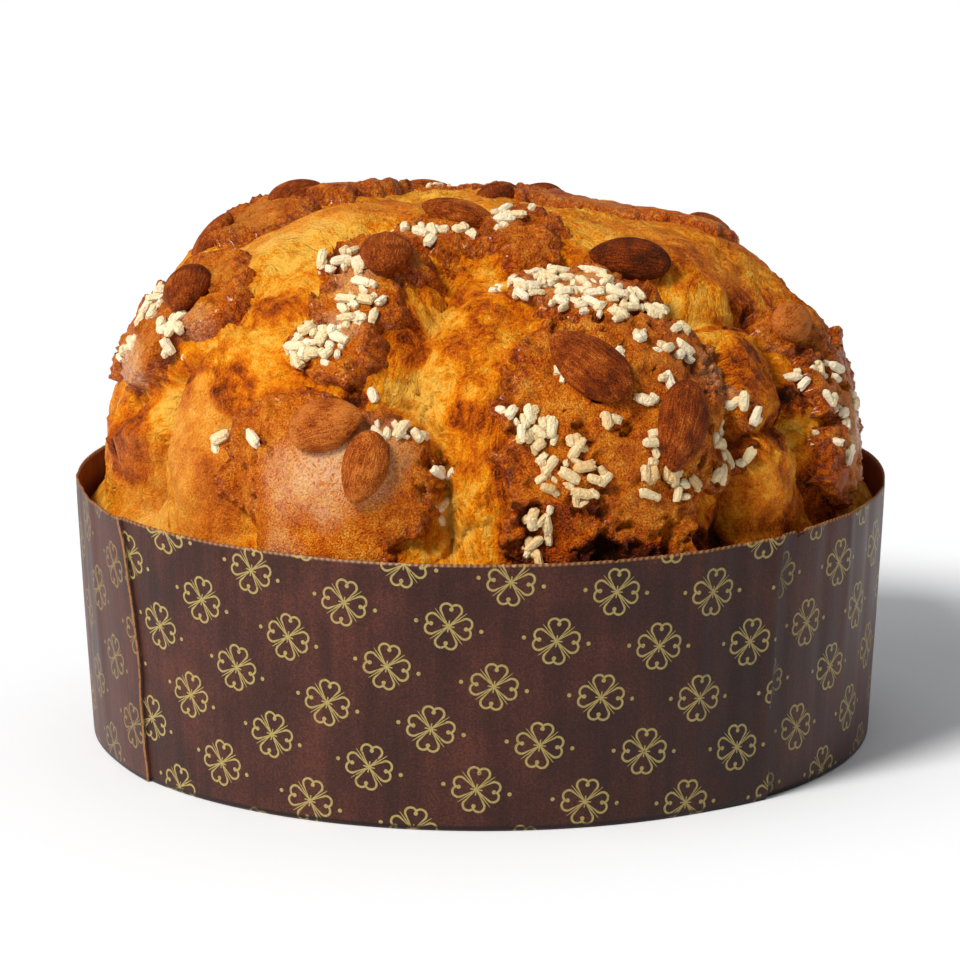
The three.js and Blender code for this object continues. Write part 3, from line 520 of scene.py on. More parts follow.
class Plan:
    """One piece's grid on the plan, with the dome under it and the fields that form and colour share.

    earth is the crumb's ground, edge the signed distance to the glaze with three finer noises added, tear
    each tear's bell, and strand a place measured across and down the strands of torn crumb."""

    def __init__(self, pull, plates):
        self.right, self.back = plan_grid(pull)
        self.base = dome(self.right, self.back)
        self.spot = self.base[0]
        self.earth = ground(self.spot, self.right, self.back)
        edge = glaze_distance(self.spot, self.right, self.back, plates)
        edge = edge + 1.5 * self.noise(6.0, 2.2) + 1.1 * self.noise(3.0, 6.4) + 0.6 * self.noise(1.6, 1.1)
        self.edge = edge
        self.tear = np.max([
            np.exp(-((line_distance(line, self.right, self.back) / (1.7 * wide)) ** 2)) * deep / 6.5
            for deep, wide, line in TEARS
        ], axis=0)
        polar, azimuth = np.hypot(self.right, self.back), np.arctan2(self.right, -self.back)
        # Strands of crumb run down the sides and wander; near the crown they have no grain.
        around = STRAND_SPREAD * np.tanh(polar / STRAND_EASE)
        across = around * np.sin(azimuth) + SWAY * self.noise(SWAY_LENGTH, 4.4)
        down = np.stack([around * np.cos(azimuth), across, STRAND_FALL * polar], axis=-1)
        self.strand = down + SWAY * self.noise(SWAY_LENGTH, 9.4)[:, None]

    def noise(self, length, shift):
        """Value noise of a given length at the dome's points."""
        return noise_at(self.spot, length, shift)

    def ovals(self, table, border, full, wobble=0):
        """Each oval's amount at each point: whole inside its full share and none past its border."""
        reach = [oval_reach(oval, self.right, self.back) + wobble for oval in table]
        return [oval[5] * smooth(border, full, far) for oval, far in zip(table, reach)]

    def over(self, values):
        """Values of the grid, with the last one repeated over the hidden side and bottom."""
        values = np.asarray(values)
        return np.concatenate([values, np.repeat(values[-1:], HIDDEN, axis=0)])


def baked_and_shaded(plan):
    """How dark the crust baked: more on high ground, by the glaze and in the ovals, and in the tears,
    where the darkening is partly painted shade.
    """
    toast = 0.3 + 0.04 * (plan.earth + 2.4) + 0.1 * plan.tear + 0.12 * plan.noise(16, 3.7)
    wobble = 0.2 * plan.noise(5, 2.9) + 0.1 * plan.noise(2, 4.4)
    toast = toast + np.sum(plan.ovals(TOAST_AND_SHADE, 1.2, 0.68, wobble), axis=0)
    return toast + 0.14 * np.exp(-((plan.edge - 0.6) ** 2) / 3)


def crumb_piece():
    """The crumb: its ground with lumps, folds that run down it and peeling layers, roughest along the tears.

    A fold is e to the power of minus the strand noise: a crease where that is nought. A layer is the part
    of a noise after the point: a slope that ends in a step."""
    plan = Plan((0, -22), GLAZE_PLATES)
    calm = np.max(plan.ovals(CALM, 1.2, 0.6), axis=0)
    lumps = 0.6 * plan.noise(5.2, 7.7) + 0.35 * plan.noise(2.6, 3.9)
    folds = np.exp(-np.abs(noise(plan.strand * np.array([1 / 8, 1 / 8, 1 / 26]) + 1.7)) / 0.1)
    layers = fraction(3.1 * plan.noise(12, 6.1) + 0.4 * plan.noise(3.2, 0.7))
    strands = 0.4 * noise(plan.strand * np.array([1 / 1.9, 1 / 1.9, 1 / 11]) + 3.3)
    rough = (0.45 + 0.55 * plan.tear) * (1 - calm)
    height = plan.earth + lumps * (1 - 0.7 * calm) + rough * (1.5 * layers - 1.5 * folds) + strands
    height = height - 1.2 * plan.tear * np.maximum(0, plan.noise(4.2, 8.1))
    made = cake_mesh("crumb", raised(plan.base, height))
    give(made, "toast", plan.over(baked_and_shaded(plan)))
    give(made, "strand", plan.over(plan.strand))
    give(made, "calm", plan.over(calm))
    return made


def glaze_piece(name, pull, plates, spots):
    """Craggy plates of glaze on the crumb, broken and holed near their edges and hollowed under the sugar.

    A plate's edge is a quarter round, stretched where it is smooth. Its lumps and pits are pebbles."""
    plan = Plan(pull, plates)
    sticky = np.zeros(len(plan.spot))
    for at in dome(*spots.T[:2])[0]:
        sticky = np.maximum(sticky, np.exp(-(np.sum((plan.spot - at) ** 2, axis=-1)) / 4.5))
    film = np.max(plan.ovals(FILM_AND_SHEEN, 1.3, 0.4, 0.3 * plan.noise(6, 7.3)), axis=0)
    calm = np.max(plan.ovals(CALM, 1.2, 0.6), axis=0)
    inside = np.clip(-plan.edge / (0.9 + 4.0 * calm), 0, 1)
    bead = np.sqrt(np.maximum(0, 1 - (1 - inside) ** 2))
    rim = np.exp(-((plan.edge + 1.2) ** 2) / 5.0)
    torn = 0.62 * plan.noise(5.6, 4.7) + 0.42 * plan.noise(2.4, 8.3) + 0.2 * plan.noise(1.3, 3.6)
    hole = smooth(0.3, 0.42, torn + 0.12 * rim - 0.3 * film - 0.4 * calm)
    nuggets = 0.62 - pebbles(plan.spot + 1.5 * plan.noise(3.0, 5.1)[:, None], 2.9, 2.7)
    grit = 0.6 - pebbles(plan.spot + 0.8 * plan.noise(1.8, 2.1)[:, None], 1.5, 6.2)
    crags = 1 - 2 * np.abs(plan.noise(4.4, 9.1))
    pits = smooth(0.42, 0.2, pebbles(plan.spot + plan.noise(2.0, 4.1)[:, None], 5.2, 5.5))
    pits = pits * (1 - film) * (1 - calm)
    detail = (0.25 + 1.3 * rim) * nuggets + (0.25 + 0.7 * rim) * grit + 0.6 * rim * crags - 0.9 * pits
    detail = detail + 0.7 * plan.noise(9.0, 2.9) - 0.7 * sticky - 2.1 * hole
    detail = detail * (1 - 0.6 * calm)
    height = plan.earth + GLAZE_THICKNESS * bead - 2.6 * smooth(0, 1.0, plan.edge) + detail * bead
    made = cake_mesh(name, raised(plan.base, height))
    give(made, "toast", plan.over(baked_and_shaded(plan)))
    give(made, "edge", plan.over(np.clip(-plan.edge, -2, 12)))
    give(made, "sticky", plan.over(sticky))
    give(made, "film", plan.over(film))
    give(made, "hole", plan.over(np.maximum(hole, 0.8 * pits)))
    return made


def almond_points(length, width, seed):
    """One almond along +X: girth t^0.5 (1-t)^0.66, with wrinkles that run along it and fade to its ends."""
    stations, around = 44, 56
    t = (0.5 - 0.5 * np.cos(np.pi * np.arange(1, stations) / stations))[:, None]
    angle = (2 * np.pi * np.arange(around) / around)[None, :]
    blunt, point, fullest = 0.5, 0.66, 0.43
    girth = 0.5 * t**blunt * (1 - t) ** point / (fullest**blunt * (1 - fullest) ** point)
    turn = angle + 0.25 * np.sin(3.1 * t + seed)
    ring = np.stack([np.broadcast_to(3.2 * t, turn.shape), 3.4 * np.cos(turn), 3.4 * np.sin(turn)], axis=-1)
    wrinkle = 1 - np.abs(noise(ring * np.array([1, 1.6, 1.6]) + seed)) * 2
    girth = girth * (1 + 0.022 * wrinkle * np.sin(np.pi * t) + 0.02 * np.sin(2 * angle + seed))
    bow = 0.35 * np.sin(np.pi * t) * np.sin(seed)
    x = np.broadcast_to((t - 0.5) * length, girth.shape)
    y, z = girth * width * np.cos(angle) + bow, girth * ALMOND_THICKNESS * np.sin(angle)
    rings = np.stack([x, y, z], axis=-1)
    points = np.concatenate([[[-length / 2, 0, 0]], rings.reshape(-1, 3), [[length / 2, 0, 0]]])
    return points, *tube_faces(stations - 1, around)


def almond_pieces():
    """The almonds, each laid in its frame on the loaf and lifted, with its tone and its skin's own places."""
    right, back, turn, length, width, lift = np.array(ALMONDS).T
    frames = seats(right, back, np.radians(turn), 2.2)
    made = []
    for number in range(len(ALMONDS)):
        points, quads, ends = almond_points(length[number], width[number], 1.7 * number)
        laid = set_on(points, tuple(part[number] for part in frames), lift[number])
        almond = mesh_piece(f"almond_skin_{number + 1:02d}", laid, quads, ends)
        paler = ALMOND_TONES[number] if number < len(ALMOND_TONES) else 0.1 * np.sin(2.3 * number)
        give(almond, "paler", np.full(len(points), paler))
        give(almond, "grain", np.column_stack([points[:, 0] * 0.12, points[:, 1:]]) + 9.0 * number)
        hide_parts(f"almond_{number + 1:02d}")
        made.append(almond)
    return made


def seam_shift(azimuth, z):
    """Azimuth of a column at a height: near a seam the columns lean and wave a little with its free edge."""
    moved = azimuth
    for at, lean in SEAMS:
        wave = 0.2 * np.sin(0.19 * z + at) + 0.1 * np.sin(0.53 * z)
        near = np.exp(-(((azimuth - at) / 12) ** 2))
        moved = moved + near * (lean * np.maximum(0, z / CASE_HEIGHT) ** 4 + wave)
    return moved


def sheet_lift(azimuth):
    """How far the outer face stands proud: a rise towards each free edge, and a sudden drop past it."""
    most = np.zeros_like(azimuth)
    for at, _ in SEAMS:
        behind = (at - azimuth) / OVERLAP_SPAN
        rise = SHEET_LIFT * np.clip(1 - behind, 0, 1) ** 1.5
        most = np.where((behind > 0) & (behind < 1), np.maximum(most, rise), most)
    return most


def case_piece():
    """The case: rings from under the base, up the outer wall, over the rim and down the pleated inside.

    A wall ring's radius is the straight flare, the sheets' lift, and a bend of two sine ripples and the
    creases' bells that comes in up the wall. The rim's teeth are a triangle wave, its nicks are bells, and
    the inside's pleats are sines."""
    columns = np.linspace(-180, 180, COLUMNS, endpoint=False)
    for at, _ in SEAMS:
        columns = columns[np.abs(columns - at) > 0.5]
    close = [at + step for at, _ in SEAMS for step in EDGE_STEPS]
    columns = np.sort(np.concatenate([columns, close]))
    lift = sheet_lift(columns)
    # The arc along the wall starts and ends at the hidden seam, so that the print breaks there.
    arc = np.radians(np.where(columns > SEAMS[-1][0], columns - 360, columns)) * MEAN_RADIUS
    ripple = 0.28 * np.sin(np.radians(columns) * 5 + 1.1) + 0.2 * np.sin(np.radians(columns) * 9 + 4.0)
    creases = sum(size * np.exp(-(((columns - at) / wide) ** 2)) for at, wide, size in CREASES)
    teeth = 0.3 * np.abs(2 * fraction(arc / TOOTH) - 1)
    nick = sum(deep * np.exp(-(((columns - at) / wide) ** 2)) for at, wide, deep in NICKS)
    rows, marks = [], []

    def ring(radius, z, inner):
        """Adds a ring and its points' places for the print: along the wall, up it, and 1 if inside."""
        radius, z, inner = (value + np.zeros(len(columns)) for value in (radius, z, inner))
        angle = np.radians(seam_shift(columns, z))
        rows.append(np.stack([radius * np.sin(angle), -radius * np.cos(angle), z], axis=-1))
        marks.append(np.stack([arc, z, inner], axis=-1))

    tab = BASE_RADIUS - TAB_WIDTH
    ring(tab - TAB_RECESS, TAB_RECESS, 0)
    ring(tab, 0, 0)
    ring(BASE_RADIUS - FOLD, 0, 0)
    ring(BASE_RADIUS - TURN_UP + 0.3 * lift, 0, 0)
    for share in (0.4, 0.8):
        lean = np.pi / 2 * share
        ring(BASE_RADIUS - TURN_UP + TURN_UP * np.sin(lean) + lift, TURN_UP * (1 - np.cos(lean)), 0)
    tip = CASE_HEIGHT - teeth - nick
    for share in OUTER_ROWS:
        z = TURN_UP + (tip - TURN_UP) * share
        bend = (ripple + creases) * np.sin(np.pi * min(share, BULGE) / (2 * BULGE)) - EDGE_DROP * share**12
        ring(wall_radius(z) + lift + bend, z, 0)
    outer_rim = wall_radius(tip) + ripple + creases - EDGE_DROP
    ring(outer_rim + lift - 0.45, tip - 0.02, 1)
    pleats = 0.35 * np.abs(np.sin(arc / PLEAT_LENGTH)) + 0.12 * np.sin(arc / 1.9)
    for share in INNER_ROWS:
        z = CASE_FLOOR + (tip - CASE_FLOOR) * share
        folded = pleats * smooth(1.0, 0.9, share) * smooth(0.2, 0.6, share)
        bend = (ripple + creases) * smooth(0.5, 1, share) - folded
        ring(wall_radius(z) - PAPER + bend * (share > 0.6), z, 1)
    ring(wall_radius(CASE_FLOOR) - PAPER, CASE_FLOOR, 1)
    points = np.concatenate([[[0, 0, TAB_RECESS]], *rows, [[0, 0, CASE_FLOOR]]])
    made = mesh_piece("paper_cup", points, *tube_faces(len(rows), len(columns)))
    give(made, "print_place", np.concatenate([[[0, 0, 0]], *marks, [[0, 0, 1]]]))
    # The cut is the paper's bare edge at each seam, and the shadow fades away from it on the sheet below.
    near = np.max([np.exp(-(((columns - at + 0.02) / 0.012) ** 2)) for at, _ in SEAMS], axis=0)
    give(made, "cut", np.concatenate([[0], np.tile(near, len(rows)), [0]]))
    shade = [np.where(columns > at, np.exp(-(columns - at) / (1.6 + at / 45)), 0) for at, _ in SEAMS]
    shade = np.max(shade, axis=0)
    give(made, "shadow", np.concatenate([[0], np.tile(shade, len(rows)), [0]]))
    return made


class Field:
    """A socket that Python expressions can use: each operator adds the Math node that works it out."""

    def __init__(self, finish, socket):
        self.finish, self.socket = finish, socket

    def math(self, operation, *others):
        """A Math node's operation on this socket and the others."""
        inputs = dict(enumerate([self, *others]))
        return self.finish.node("ShaderNodeMath", {"operation": operation}, inputs)

    def __add__(self, other):
        return self.math("ADD", other)

    def __sub__(self, other):
        return self.math("SUBTRACT", other)

    def __rsub__(self, other):
        return self.finish.node("ShaderNodeMath", {"operation": "SUBTRACT"}, {0: other, 1: self})

    def __mul__(self, other):
        return self.math("MULTIPLY", other)

    def __truediv__(self, other):
        return self.math("DIVIDE", other)

    def __abs__(self):
        return self.math("ABSOLUTE")

    __radd__ = __add__
    __rmul__ = __mul__

    def step(self, low, high):
        """0 up to low, 1 from high, smooth between. High may be the lower of the two."""
        kind = {"interpolation_type": "SMOOTHSTEP"}
        if low < high:
            return self.finish.node("ShaderNodeMapRange", kind, {0: self, 1: low, 2: high})
        return self.finish.node("ShaderNodeMapRange", kind, {0: self, 1: high, 2: low, 3: 1.0, 4: 0.0})


class Finish:
    """One material, whose nodes are made by type, settings and the values or links of their sockets."""

    def __init__(self, name, **constants):
        self.material = bpy.data.materials.new(name)
        self.material.use_nodes = True
        self.tree = self.material.node_tree
        self.shader = self.tree.nodes["Principled BSDF"]
        # A constant's name is its socket's in small letters, so specular_ior_level is Specular IOR Level.
        for socket, value in constants.items():
            self.shader.inputs[socket.replace("_", " ").title().replace("Ior", "IOR")].default_value = value

    def node(self, kind, settings=(), inputs=(), output=0):
        """Any node, from its type, its settings or a ramp's stops, and its sockets' values or links."""
        made = self.tree.nodes.new(kind)
        for key, value in dict(settings).items():
            if key == "stops":
                while len(made.color_ramp.elements) < len(value):
                    made.color_ramp.elements.new(0.5)
                for element, (at, colour) in zip(made.color_ramp.elements, value):
                    element.position, element.color = at, linear(colour)
            else:
                setattr(made, key, value)
        for key, value in dict(inputs).items():
            self.put(made.inputs[key], value)
        return Field(self, made.outputs[output])

    def put(self, socket, value):
        """Links a field to a socket, or sets the socket's value."""
        if isinstance(value, Field):
            self.tree.links.new(value.socket, socket)
        else:
            socket.default_value = value

    def place(self):
        """Object coordinates in millimetres."""
        at = self.node("ShaderNodeTexCoord", output=3)
        return self.node("ShaderNodeVectorMath", {"operation": "SCALE"}, {0: at, "Scale": 1000.0})

    def attribute(self, name, vector=False):
        """What give stored on the piece: a number, or a row of three."""
        return self.node("ShaderNodeAttribute", {"attribute_name": name}, output=1 if vector else 2)

    def noise(self, at, length, detail=2.0, rough=0.5, stretch=(1, 1, 1)):
        """Noise from 0 to 1 of a length in millimetres, drawn out along axes whose stretch is under 1."""
        if stretch != (1, 1, 1):
            at = self.node("ShaderNodeVectorMath", {"operation": "MULTIPLY"}, {0: at, 1: stretch})
        values = {"Vector": at, "Scale": 1 / length, "Detail": detail, "Roughness": rough}
        return self.node("ShaderNodeTexNoise", inputs=values)

    def cells(self, at, length):
        """Distance to the nearest of strewn points, in cells of a length in millimetres."""
        return self.node("ShaderNodeTexVoronoi", inputs={"Vector": at, "Scale": 1 / length})

    def warped(self, at, length):
        """Places pushed about by a colour noise of a given length."""
        values = {"Vector": at, "Scale": 1 / length, "Detail": 2.0}
        push = self.node("ShaderNodeTexNoise", inputs=values, output=1)
        settings = {"operation": "MULTIPLY_ADD"}
        return self.node("ShaderNodeVectorMath", settings, {0: push, 1: (length * 1.2,) * 3, 2: at})

    def distance(self, x, y):
        """Straight distance of two offsets: the root of the sum of their squares."""
        return (x * x + y * y).math("SQRT")

    def ramp(self, value, *stops):
        """A colour that runs through the stops as a value rises. A stop is a value and a colour."""
        return self.node("ShaderNodeValToRGB", {"stops": stops}, {0: value})

    def blend(self, share, first, second):
        """One colour where the share is 0 and another where it is 1."""
        pair = {0: share, 6: tone(first), 7: tone(second)}
        return self.node("ShaderNodeMix", {"data_type": "RGBA"}, pair, output=2)

    def bump(self, height, distance, strength=1.0):
        """A normal from a height, where one unit of it stands for a distance in millimetres."""
        inputs = {"Height": height, "Distance": distance * 0.001, "Strength": strength}
        return self.node("ShaderNodeBump", inputs=inputs)

    def onto(self, **links):
        """Puts values or links into the shader's sockets."""
        for name, value in links.items():
            self.put(self.shader.inputs[name.replace("_", " ")], value)


def linear(colour):
    """A colour given as it looks on screen, 0 to 255, as linear light with full cover."""
    c = np.array(colour) / 255
    return (*np.where(c <= 0.04045, c / 12.92, ((c + 0.055) / 1.055) ** 2.4), 1.0)


def tone(value):
    """A field as it is, and a colour on screen as linear light."""
    return value if isinstance(value, Field) else linear(value)


def crumb_finish():
    """Baked crumb: the stored baking tone, darker in the tears partly as painted shade, noises, and cords
    and fibres along the strands make one level, which runs through the crust's golds and browns. Calm skin is
    more leathery and less rough."""
    made = Finish("baked_crumb", specular_ior_level=0.12)
    at = made.place()
    strand_at = made.attribute("strand", vector=True)
    toast, rough = made.attribute("toast"), 1 - made.attribute("calm") * 0.75
    broad = made.noise(at, 15, 3, 0.55) - 0.5
    patch = made.noise(at, 4.5, 4, 0.62) - 0.5
    cords = made.noise(made.warped(strand_at, 6.0), 2.6, 3, 0.6, (1, 1, 0.25)) - 0.5
    fibres = made.noise(made.warped(strand_at, 3.0), 0.8, 3, 0.6, (1, 1, 0.16)) - 0.5
    layers = (made.noise(made.warped(at, 5.0), 9, 2) * 8).math("FRACT")
    fine = made.noise(at, 0.5, 3, 0.7) - 0.5
    level = toast + (broad * 0.7 + patch * 1.0) * (0.35 + rough * 0.65)
    level = level + (cords * 0.8 + fibres * 0.7) * rough + fine * 0.9
    level = level - layers.step(0.75, 1.0) * rough * 0.1
    colour = made.ramp(
        level,
        (0.0, (252, 190, 72)), (0.25, (243, 149, 8)), (0.48, (220, 110, 0)),
        (0.68, (178, 76, 0)), (0.85, (124, 48, 0)), (1.0, (56, 24, 6)),
    )
    leather = made.ramp(
        level,
        (0.0, (246, 190, 100)), (0.3, (228, 148, 56)), (0.55, (198, 104, 26)),
        (0.85, (126, 54, 8)), (1.0, (70, 30, 8)),
    )
    colour = made.blend((1 - rough) * 0.9, colour, leather)
    height = (cords * 2.6 + fibres * 1.1 + layers * 0.7) * rough + fine * 1.0 + patch * 0.8
    made.onto(
        Base_Color=colour,
        Roughness=0.62 - toast * 0.3 + fine * 0.4,
        Normal=made.bump(height, 1.0),
    )
    return made.material


def glaze_finish():
    """Almond glaze: a level of noises, crumbs and the stored baking tone, with its painted shade in the
    tears, runs through its golds, a little darker round the sugar as caramel and painted contact shade. It
    is darker and wetter at its rim and in its holes. Where a pale skin of it dried it is paler, partly
    painted sheen, with a fine net of painted highlight over its wrinkles."""
    made = Finish("almond_glaze", specular_ior_level=0.16, coat_roughness=0.14)
    at = made.place()
    rim, film = made.attribute("edge").step(4.2, 0.2), made.attribute("film")
    patch = made.noise(at, 7, 4, 0.6) - 0.5
    mottle = made.noise(at, 2.0, 4, 0.65) - 0.5
    fine = made.noise(at, 0.5, 3, 0.7) - 0.5
    pores = made.cells(at, 1.1).step(0.3, 0.05)
    crumbs = made.cells(made.warped(at, 1.6), 1.8) - 0.45
    net = made.cells(made.warped(at, 1.4), 1.0).step(0.2, 0.6)
    # The dried glaze skin is paler: partly its own colour, partly painted sheen.
    level = 0.33 + patch * 0.9 + mottle * 0.7 + crumbs * rim * 0.6 + fine * 1.5 - film * 0.22
    toast = made.attribute("toast")
    # Round the sugar the glaze is a little darker: partly caramel, partly painted contact shade.
    level = level + toast * 0.2 + toast.step(0.9, 1.5) * 0.5 + made.attribute("sticky") * 0.1
    colour = made.ramp(
        level,
        (0.0, (250, 182, 84)), (0.25, (236, 136, 18)), (0.5, (210, 96, 0)),
        (0.75, (160, 58, 0)), (1.0, (78, 24, 0)),
    )
    wet = made.ramp(level, (0.2, (222, 110, 0)), (0.6, (180, 66, 0)), (0.9, (90, 28, 0)))
    colour = made.blend(rim * 0.55, colour, wet)
    colour = made.blend(pores * 0.3, colour, (104, 46, 8))
    deep = made.ramp(level, (0.1, (190, 84, 0)), (0.7, (96, 32, 0)))
    colour = made.blend(made.attribute("hole") * 0.6, colour, deep)
    # Painted highlight: a pale net over the wrinkles of the dried skin.
    colour = made.blend(net * film * 0.6, colour, (252, 206, 162))
    height = fine * 1.4 + mottle * (1.5 - film * 0.8) - pores * 0.35
    height = height - crumbs * (0.35 + rim * 1.7) + net * film * 0.35
    made.onto(
        Base_Color=colour,
        Roughness=0.36 - rim * 0.12 - film * 0.1 + patch * 0.4 + fine * 0.2,
        Coat_Weight=film * 0.6 + rim * 0.22,
        Normal=made.bump(height, 0.9),
    )
    return made.material


def sugar_finish():
    """Pearl sugar: each grain's stored tone, painted darker as painted shade low on the front right, and a
    fine noise run from tan to creamy white.
    """
    made = Finish("pearl_sugar", specular_ior_level=0.4)
    at = made.place()
    grainy = made.noise(at, 0.6, 3, 0.65)
    tint = made.attribute("lit") * 0.5 + (grainy - 0.5) * 1.2 + 0.25
    made.onto(
        Base_Color=made.ramp(tint, (0.0, (222, 182, 122)), (0.35, (242, 220, 172)), (0.9, (252, 240, 212))),
        Roughness=0.5 + (grainy - 0.5) * 0.6,
        Normal=made.bump((grainy - 0.5) * 1.2, 0.6),
    )
    return made.material


def almond_finish():
    """Almond skin: furrows along it, blotches, dust and its stored tone run from dark to pale brown."""
    made = Finish("almond_skin", specular_ior_level=0.12)
    at = made.place()
    along = made.attribute("grain", vector=True)
    furrows = made.noise(along, 0.6, 3, 0.6) - 0.5
    dust = made.noise(at, 0.3, 2, 0.7) - 0.5
    blotch = made.noise(at, 6, 3, 0.6) - 0.5
    made.onto(
        Base_Color=made.ramp(
            0.5 + furrows * 0.6 + blotch * 0.8 + dust * 1.1 + made.attribute("paler"),
            (0.2, (54, 18, 0)), (0.4, (112, 42, 0)), (0.58, (154, 66, 4)), (0.8, (204, 118, 46)),
        ),
        Roughness=0.72 + dust * 0.5,
        Normal=made.bump(furrows * 2.2 + dust * 0.8, 0.5),
    )
    return made.material


def ornament(made, x, y):
    """A four-heart ornament as a mask of its lines, from places in millimetres about its middle.

    The plane is folded onto one petal. A petal is a wedge from the middle joined to a round lobe;
    its outline, a ball on a stem in its notch, a ray in each gap and a dot at each side are drawn."""
    side, up = abs(x), abs(y)
    px, py = side.math("MAXIMUM", up), side.math("MINIMUM", up)
    lobe_x, lobe_y, lobe = 4.35, 1.25, 1.45
    reach = float(np.hypot(lobe_x, lobe_y))
    lean = float(np.arctan2(lobe_y, lobe_x) + np.arcsin(lobe / reach))
    c, s = float(np.cos(lean)), float(np.sin(lean))
    tangent = float(np.sqrt(reach**2 - lobe**2))
    circle = made.distance(px - lobe_x, py - lobe_y) - lobe
    wedge = (py * c - px * s).math("MAXIMUM", px * c + py * s - tangent)
    radius = made.distance(px, py)
    line = 0.12 + 0.17 * radius.step(2.0, 5.2)
    outline = (abs(circle.math("MINIMUM", wedge)) - line).step(0.07, -0.07)
    ball = made.distance(px - 4.45, py).step(0.62, 0.48)
    stem = py.step(0.26, 0.12) * px.step(4.3, 4.5) * px.step(5.4, 5.2)
    far, off = (px + py) * 0.7071, (px - py) * 0.7071
    ray = (off + far * 0.035).step(0.34, 0.2) * far.step(5.9, 5.6)
    star = py.step(0.24, 0.1) * px.step(1.7, 1.4)
    dot = made.distance(side - 8.3, y).step(0.6, 0.46)
    mask = outline
    for part in (ball, stem, ray, star, dot):
        mask = mask.math("MAXIMUM", part)
    return mask


def paper_finish():
    """Printed paper: ornaments on a leaning square lattice, worked out from the wall's own measure.

    The print's height falls by a slope times the distance along the wall and a change of slope times its
    square. Each sheet's print is moved by its own amount, and worn by a noise; the left sheet's print is
    fainter, partly wear and partly painted sheen. The paper is brown with streaks along it, redder inside,
    with a painted shadow by the seams, painted shade towards the right seam and a painted contact shadow at
    its foot."""
    made = Finish("printed_paper", specular_ior_level=0.26)
    at = made.place()
    parts = made.node("ShaderNodeSeparateXYZ", inputs={0: made.attribute("print_place", vector=True)})
    arc, height, inner = (Field(made, parts.socket.node.outputs[i]) for i in range(3))
    left_sheet, right_sheet = arc.step(*LEFT_BREAK), arc.step(*RIGHT_BREAK)
    drift = arc - PRINT_ORIGIN[0] + left_sheet * LEFT_SHIFT[0] + right_sheet * RIGHT_SHIFT[0]
    rise = height - PRINT_ORIGIN[1] + left_sheet * LEFT_SHIFT[1] + right_sheet * RIGHT_SHIFT[1]
    slope = SLOPE + drift * (2 * SLOPE_CHANGE)
    x = (drift - slope * rise) * PRINT_SCALE
    y = (rise + drift * SLOPE + drift * drift * SLOPE_CHANGE) * PRINT_SCALE
    a, b = (x + y) / (2 * CHECK), (x - y) / (2 * CHECK)
    a, b = a - a.math("ROUND"), b - b.math("ROUND")
    drawn = ornament(made, (a + b) * CHECK, (a - b) * CHECK)
    wear = made.noise(at, 1.1, 3, 0.7)
    # The left sheet's print is fainter: partly wear, partly painted sheen washing it out.
    drawn = drawn * (1 - inner) * wear.step(0.22, 0.42) * (1 - left_sheet * 0.45)

    fibres = made.noise(at, 3.4, 4, 0.6, (1, 1, 0.06))
    cloud = made.noise(at, 22, 3, 0.6)
    streaks = made.noise(at, 9, 3, 0.6, (1, 1, 0.07))
    fine = made.noise(at, 0.5, 3, 0.6)
    level = 0.5 + (fibres - 0.5) * 0.35 + (cloud - 0.5) * 0.6 + (streaks - 0.5) * 0.35 + (fine - 0.5) * 0.8
    # Painted shade: the ground darkens towards the right seam, away from the light; the right sheet's is
    # lighter.
    level = level - arc.step(10.0, 75.0) * 0.1 + right_sheet * 0.16
    ground_tone = made.ramp(level, (0.25, (34, 13, 8)), (0.5, (60, 27, 18)), (0.75, (92, 46, 33)))
    printed = made.blend(drawn, ground_tone, made.ramp(fine, (0.3, (142, 122, 68)), (0.7, (168, 150, 92))))
    depth = height.step(25.0, 70.0)
    inside = made.ramp(level + depth * 0.35 - 0.2, (0.3, (40, 8, 0)), (0.6, (84, 25, 0)), (0.8, (118, 48, 0)))
    colour = made.blend(inner.step(0.45, 0.55), printed, inside)
    colour = made.blend(made.attribute("shadow") * 0.92, colour, (14, 6, 4))
    # Painted contact shadow: a dark band low on the wall, just above the floor.
    foot = height.step(1.7, 1.0) * height.step(0.3, 0.7)
    colour = made.blend(foot * 0.85, colour, (12, 6, 4))
    cut = made.attribute("cut").step(0.4, 0.7) * wear.step(0.25, 0.5) * arc.step(75.0, 65.0)
    colour = made.blend(cut * 0.8, colour, (176, 120, 72))
    tooth = abs((arc / TOOTH).math("FRACT") - 0.5).step(0.1, 0.4)
    rim = height.step(CASE_HEIGHT - 1.1, CASE_HEIGHT - 0.5)
    colour = made.blend(rim * (0.2 + tooth * 0.45), colour, (176, 126, 80))
    made.onto(
        Base_Color=colour,
        Roughness=0.44 + (cloud - 0.5) * 0.2 + (fine - 0.5) * 0.16 + drawn * 0.06 + inner * 0.2,
        Normal=made.bump(fibres * 0.6 + fine * 0.4, 0.35, 0.45),
    )
    return made.material


def floor_finish():
    """A plain, pale, matt floor."""
    pale = linear((240, 243, 248))
    return Finish("pale_floor", roughness=0.7, base_color=pale, specular_ior_level=0.2).material


def lamp(name, aim, spread, power, colour):
    """A far soft light: the heading that it shines along, how wide it looks in degrees, its power and
    its colour."""
    light = bpy.data.lights.new(name, "SUN")
    light.angle, light.energy, light.color = np.radians(spread), power, colour
    holder = bpy.data.objects.new(name, light)
    holder.rotation_euler = Vector(aim).to_track_quat("-Z", "Y").to_euler()
    bpy.context.scene.collection.objects.link(holder)
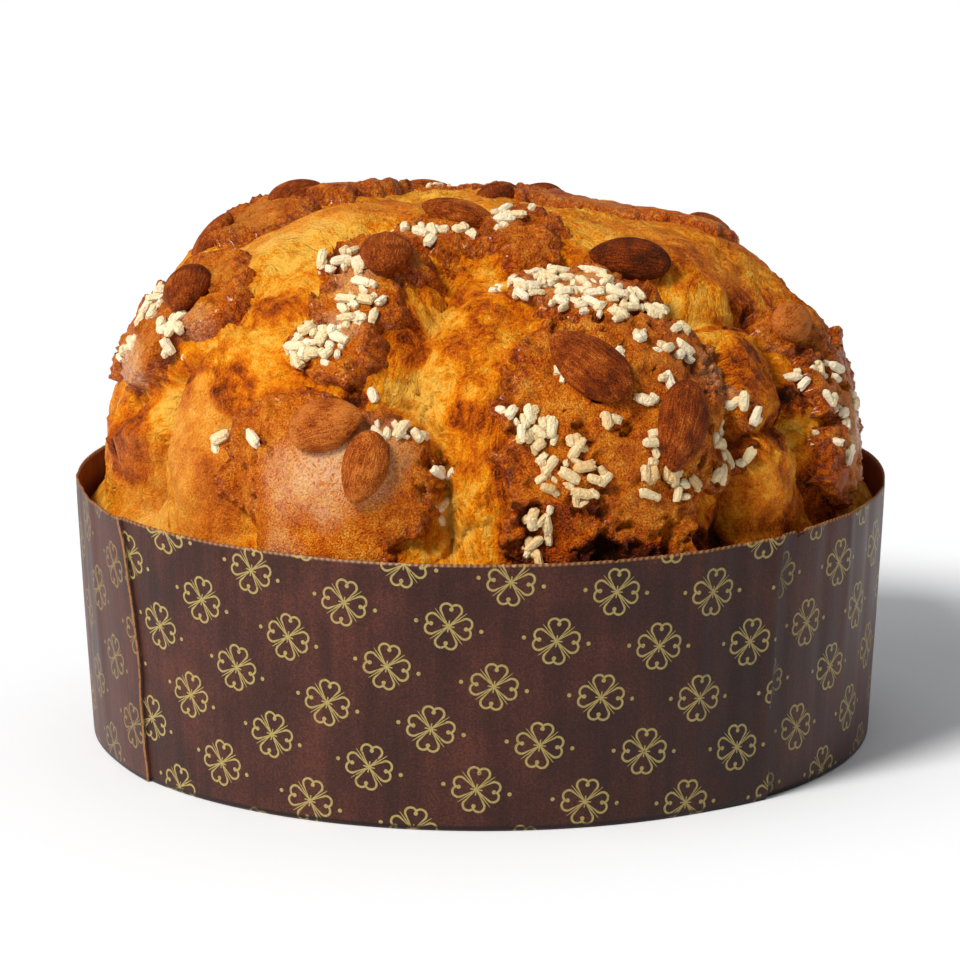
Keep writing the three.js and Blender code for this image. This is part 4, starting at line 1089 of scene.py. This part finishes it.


# The pieces, with the solid that each one stands for and its body.
spots = sugar_spots()
sugar = sugar_piece(spots)
crumb = crumb_piece()
glaze_left = glaze_piece("glaze_left", (-22, -28), [plate for plate in GLAZE_PLATES if plate[0] < 0], spots)
glaze_right = glaze_piece("glaze_right", (22, -28), [plate for plate in GLAZE_PLATES if plate[0] > 0], spots)
almonds = almond_pieces()
paper_cup = case_piece()
for piece in (crumb, glaze_left, glaze_right, sugar):
    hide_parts("loaf")
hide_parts("paper_case")
for piece in (crumb, glaze_left, glaze_right, sugar, paper_cup, *almonds):
    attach(piece, "root")

for pieces, material in (
    ([crumb], crumb_finish()), ([glaze_left, glaze_right], glaze_finish()), ([sugar], sugar_finish()),
    ([paper_cup], paper_finish()), (almonds, almond_finish()),
):
    for piece in pieces:
        piece.data.materials.append(material)

# A plain floor under wide soft light, mostly from the upper left in front.
corners = FLOOR_HALF * np.array([[-1, -1, 0], [1, -1, 0], [1, 1, 0], [-1, 1, 0]])
floor = mesh_piece("floor", corners, [[0, 1, 2, 3]])
floor.data.materials.append(floor_finish())
lamp("key_light", (0.62, 0.62, -0.86), 16, 3.35, (1.0, 0.965, 0.91))
lamp("top_light", (-0.1, -0.25, -1.0), 60, 0.5, (1.0, 1.0, 1.0))
lamp("side_light", (1.0, 0.3, -0.3), 70, 1.2, (1.0, 0.97, 0.94))

scene = bpy.context.scene
world = bpy.data.worlds.new("studio")
scene.world = world
world.use_nodes = True
sky = world.node_tree.nodes["Background"]
sky.inputs["Color"].default_value = (1.0, 1.0, 1.0, 1.0)
sky.inputs["Strength"].default_value = SKY_STRENGTH
scene.view_settings.view_transform = "Standard"

camera = bpy.data.objects.new("camera", bpy.data.cameras.new("camera"))
camera.data.sensor_width, camera.data.lens, camera.data.clip_end = 36.0, LENS, 100.0
camera.location = CAMERA_PLACE
camera.rotation_euler = (np.pi / 2 - LOOK_DOWN, 0, 0)
scene.collection.objects.link(camera)
scene.camera = camera

bpy.context.view_layer.update()
